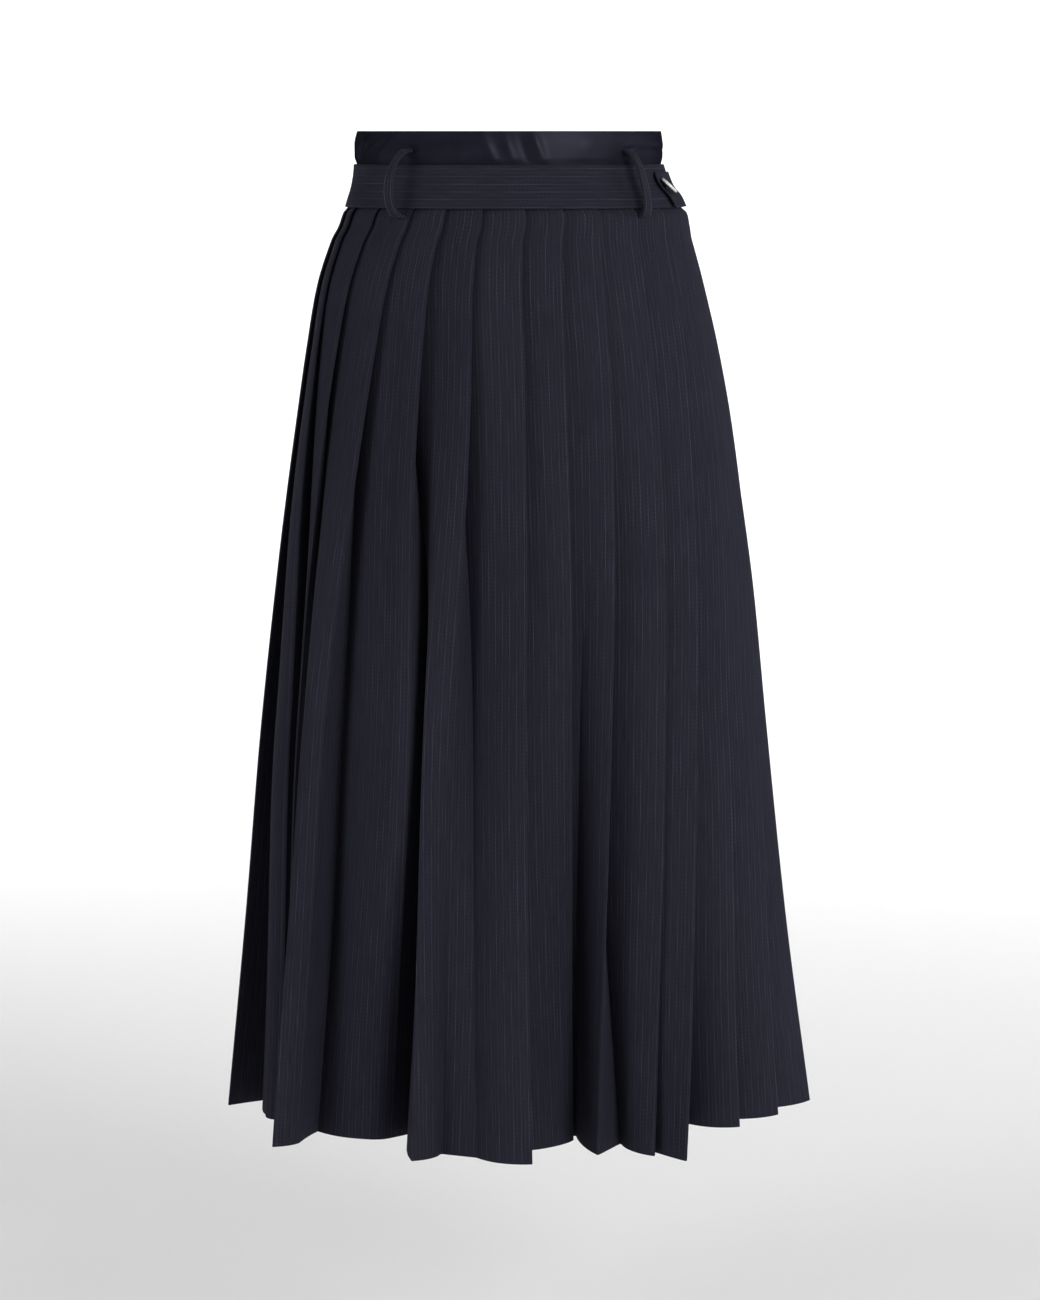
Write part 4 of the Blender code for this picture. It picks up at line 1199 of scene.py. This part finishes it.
# %% the tree that sews along a line
def sewing_tree():
    """Geometry Nodes: a guide line in, a row of stitches out."""
    tree = bpy.data.node_groups.new("sewing", "GeometryNodeTree")
    inputs = {"Guide": "Geometry", "Stitch": "Object", "Pitch": "Float", "Shortest": "Float",
              "Longest": "Float", "Seed": "Int", "Thread": "Material"}
    for name, kind in inputs.items():
        tree.interface.new_socket(name, in_out="INPUT", socket_type="NodeSocket" + kind)
    tree.interface.new_socket("Row of stitches", in_out="OUTPUT", socket_type="NodeSocketGeometry")
    given, result = tree.nodes.new("NodeGroupInput"), tree.nodes.new("NodeGroupOutput")
    line = tree.nodes.new("GeometryNodeMeshToCurve")
    steps = tree.nodes.new("GeometryNodeResampleCurve")
    steps.mode = "LENGTH"
    way = tree.nodes.new("GeometryNodeInputTangent")
    turn = tree.nodes.new("FunctionNodeAlignRotationToVector")
    turn.axis = "X"
    size = tree.nodes.new("FunctionNodeRandomValue")
    size.data_type = "FLOAT"
    source = tree.nodes.new("GeometryNodeObjectInfo")
    put = tree.nodes.new("GeometryNodeInstanceOnPoints")
    real = tree.nodes.new("GeometryNodeRealizeInstances")
    paint = tree.nodes.new("GeometryNodeSetMaterial")
    for start, end in (
        (given.outputs["Guide"], line.inputs["Mesh"]),
        (line.outputs["Curve"], steps.inputs["Curve"]),
        (given.outputs["Pitch"], steps.inputs["Length"]),
        (way.outputs["Tangent"], turn.inputs["Vector"]),
        (given.outputs["Shortest"], size.inputs[2]),
        (given.outputs["Longest"], size.inputs[3]),
        (given.outputs["Seed"], size.inputs["Seed"]),
        (given.outputs["Stitch"], source.inputs["Object"]),
        (steps.outputs["Curve"], put.inputs["Points"]),
        (source.outputs["Geometry"], put.inputs["Instance"]),
        (turn.outputs["Rotation"], put.inputs["Rotation"]),
        (size.outputs[1], put.inputs["Scale"]),
        (put.outputs["Instances"], real.inputs["Geometry"]),
        (real.outputs["Geometry"], paint.inputs["Geometry"]),
        (given.outputs["Thread"], paint.inputs["Material"]),
        (paint.outputs["Geometry"], result.inputs["Row of stitches"]),
    ):
        tree.links.new(start, end)
    return tree


SEWING = sewing_tree()
SHORTEST, LONGEST = 0.85, 1.05   # shares of the length of the one stitch


def apply_modifiers(item):
    """Keep what an object's modifiers make of it as its own mesh."""
    depsgraph = bpy.context.evaluated_depsgraph_get()
    made = bpy.data.meshes.new_from_object(item.evaluated_get(depsgraph))
    item.modifiers.clear()
    item.data = made


def sew(name, lines, seed):
    """Rows of stitches along lines of points in millimetres, as one piece."""
    points, edges = [], []
    for line in lines:
        edges += [(len(points) + i, len(points) + i + 1) for i in range(len(line) - 1)]
        points += [tuple(spot * MM) for spot in line]
    mesh = bpy.data.meshes.new(name)
    mesh.from_pydata(points, edges, [])
    item = new_object(name, mesh)
    machine = item.modifiers.new("sewing", "NODES")
    machine.node_group = SEWING
    values = {"Stitch": stitch, "Pitch": STITCH_PITCH * MM, "Shortest": SHORTEST, "Longest": LONGEST,
              "Seed": seed, "Thread": thread.material}
    for socket in SEWING.interface.items_tree:
        if socket.name in values:
            machine[socket.identifier] = values[socket.name]
    apply_modifiers(item)
    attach(item, "root")
    print(f"{name}: {triangles(item)} triangles")


# %% the loops' edge stitching
PROUD = 0.6              # share of half the thread's thickness by which its middle lies above the channel
UNSEWN = 2               # points of the spine left without stitches at each end


def loop_lines(spine):
    """Where the two rows of stitches run along a loop's outer face."""
    height = LOOP_WALL / 2 - CHANNEL_DEPTH + THREAD * PROUD
    places = list(zip(spine.spots, spine.widths, spine.across))[UNSEWN:-UNSEWN]
    return [[spot + width * side - across * height for spot, width, across in places]
            for side in (-CHANNEL, CHANNEL)]


for seed, (name, spine) in enumerate(SPINES.items(), start=1):
    sew(name.replace("loop", "stitches"), loop_lines(spine), seed)
bpy.data.objects.remove(stitch, do_unlink=True)

# %% [markdown]
# ## Button
# A resin button with a pearly look: a raised rim, a dished middle and four holes. It is turned from a
# profile, and the holes are drilled. Two bars of thread hold it, and below it the thread is wound into
# a short shank, which leaves room for the cloth of the buttonhole.

# %% pearl finish
PEARL_DARK, PEARL_PALE = (0.58, 0.56, 0.55, 1.0), (0.80, 0.78, 0.76, 1.0)
PEARL_ROUGH, PEARL_UNEVEN = 0.16, 0.2


def pearl_finish():
    pearl = Finish("pearly resin", Coat_Weight=0.6, Coat_Roughness=0.12, Subsurface_Weight=0.15,
                   Subsurface_Radius=(0.002, 0.0018, 0.0016))
    place = pearl.node("ShaderNodeTexCoord", output="Object")
    swirl = pearl.node("ShaderNodeTexNoise", {}, {"Vector": place, "Scale": 260.0, "Detail": 3.0,
                                                 "Distortion": 1.5})
    pearl.feed("Base Color", pearl.mix(pearl.smooth_step(swirl, 0.3, 0.7), PEARL_DARK, PEARL_PALE))
    pearl.feed("Roughness", swirl * PEARL_UNEVEN + PEARL_ROUGH)
    return pearl


pearl = pearl_finish()

# %% button
BUTTON_RADIUS = 8.5
BUTTON_ANGLE, BUTTON_Z = 67.5, -3.5
BUTTON_TURN = 20.0       # degrees: it leans out with the tab's free end
BUTTON_TIP = 14.0        # degrees: and its face looks up more than the tab does
BUTTON_CLEAR = 0.8       # how far its lowest edge stands off the tab, less what the tab curves up to it
BUTTON_PROFILE = [(7.3, 0.0), (8.0, 0.15), (8.4, 0.5), (8.5, 1.1), (8.4, 1.7), (8.1, 2.1), (7.6, 2.3),
                  (6.9, 2.32), (6.4, 2.2), (6.0, 1.95), (5.5, 1.7), (4.6, 1.6), (2.4, 1.64)]
BUTTON_SIDES = 72
BUTTON_SOFT_ANGLE = 35   # degrees: a sharper bend than this is shaded as an edge
HOLE_RADIUS, HOLE_OFFSET = 0.9, 1.6
DRILL_SIDES, DRILL_LENGTH = 20, 12.0


def turned_disc(name, profile, finish):
    """A closed round piece, turned from the (radius, height) steps of its outline."""
    bm = bmesh.new()
    rings = []
    for radius, height in profile:
        rings.append([bm.verts.new((radius * cos(2 * pi * i / BUTTON_SIDES),
                                    radius * sin(2 * pi * i / BUTTON_SIDES), height))
                      for i in range(BUTTON_SIDES)])
    join_rings(bm, rings)
    mesh = mesh_from(bm, name)
    mesh.materials.append(finish.material)
    return new_object(name, mesh)


def drill(item, radius, places):
    """Cut round holes through a flat piece that still lies at the origin."""
    bm = bmesh.new()
    for place in places:
        made = bmesh.ops.create_cone(bm, cap_ends=True, segments=DRILL_SIDES, depth=DRILL_LENGTH,
                                     radius1=radius, radius2=radius)
        bmesh.ops.translate(bm, vec=(*place, 0.0), verts=made["verts"])
    cutter = new_object("drill", mesh_from(bm, "drill"))
    cut = item.modifiers.new("holes", "BOOLEAN")
    cut.operation = "DIFFERENCE"
    cut.solver = "EXACT"
    cut.object = cutter
    apply_modifiers(item)
    bpy.data.objects.remove(cutter, do_unlink=True)


def button_place():
    """Where the button lies on the tab: it leans out with the free end, and tips back."""
    normal = outward(BAND_FORM, BUTTON_ANGLE, BUTTON_Z)
    surface = Vector((*on_form(form_at(BAND_FORM, BUTTON_Z), BUTTON_ANGLE), BUTTON_Z))
    off = tab_gap(BUTTON_RADIUS) + TAB_WALL + BUTTON_CLEAR + BUTTON_RADIUS * sin(radians(BUTTON_TIP))
    round_it = Vector((0.0, 0.0, 1.0)).cross(normal).normalized()
    upward = normal.cross(round_it)
    turned_out = Matrix.Rotation(radians(BUTTON_TURN), 3, upward)
    tipped_back = Matrix.Rotation(-radians(BUTTON_TIP), 3, round_it)
    turn = turned_out @ tipped_back @ Matrix((round_it, upward, normal)).transposed()
    return Matrix.Translation(surface + normal * off) @ turn.to_4x4()


def lay(item, place):
    """Move a mesh made in millimetres at the origin to its place, in metres."""
    item.data.transform(Matrix.Scale(MM, 4) @ place)
    item.data.shade_smooth()
    item.data.set_sharp_from_angle(angle=radians(BUTTON_SOFT_ANGLE))


button = turned_disc("pearl_button", BUTTON_PROFILE, pearl)
HOLES = [(x, y) for x in (-HOLE_OFFSET, HOLE_OFFSET) for y in (-HOLE_OFFSET, HOLE_OFFSET)]
drill(button, HOLE_RADIUS, HOLES)
lay(button, button_place())
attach(button, "root")
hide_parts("button")
print("button:", triangles(button), "triangles")

# %% thread that holds the button
BAR, BAR_TOP = 0.42, 2.05        # mm: half the thickness of a bar of thread, and how high it lies
SHANK, SHANK_TOP, SHANK_LENGTH = 1.3, -0.05, 2.4
WINDINGS, WINDING_PROUD = 12, 0.12   # steps down the shank, and how far every second one stands out
CORD_SIDES = 12
BAR_PATH = [(-1.0, 0.2), (-1.0, 1.5), (-0.75, 1.9), (0.0, BAR_TOP), (0.75, 1.9), (1.0, 1.5), (1.0, 0.2)]


def cord(name, path, radii):
    """A round cord through points of the button's own plane x = constant, laid where the button is."""
    place = button_place()
    turns = [2 * pi * i / CORD_SIDES for i in range(CORD_SIDES)]
    square = Vector((1.0, 0.0, 0.0))
    rings = []
    for i, (spot, radius) in enumerate(zip(path, radii)):
        way = (path[min(i + 1, len(path) - 1)] - path[max(i - 1, 0)]).normalized()
        side = square.cross(way)
        rings.append([place @ (spot + (square * cos(t) + side * sin(t)) * radius) for t in turns])
    around = np.arange(CORD_SIDES + 1.0)
    item = tube(name, np.array(rings), around, np.arange(float(len(path))), thread)
    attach(item, "root")
    print(f"{name}: {triangles(item)} triangles")


for name, x in (("thread_bar_upper", HOLE_OFFSET), ("thread_bar_lower", -HOLE_OFFSET)):
    bar = [Vector((x, HOLE_OFFSET * share, height)) for share, height in BAR_PATH]
    cord(name, bar, [BAR] * len(bar))
windings = [Vector((0.0, 0.0, SHANK_TOP - SHANK_LENGTH * i / WINDINGS)) for i in range(WINDINGS + 1)]
cord("thread_shank", windings, [SHANK * (1 + WINDING_PROUD * (i % 2)) for i in range(WINDINGS + 1)])
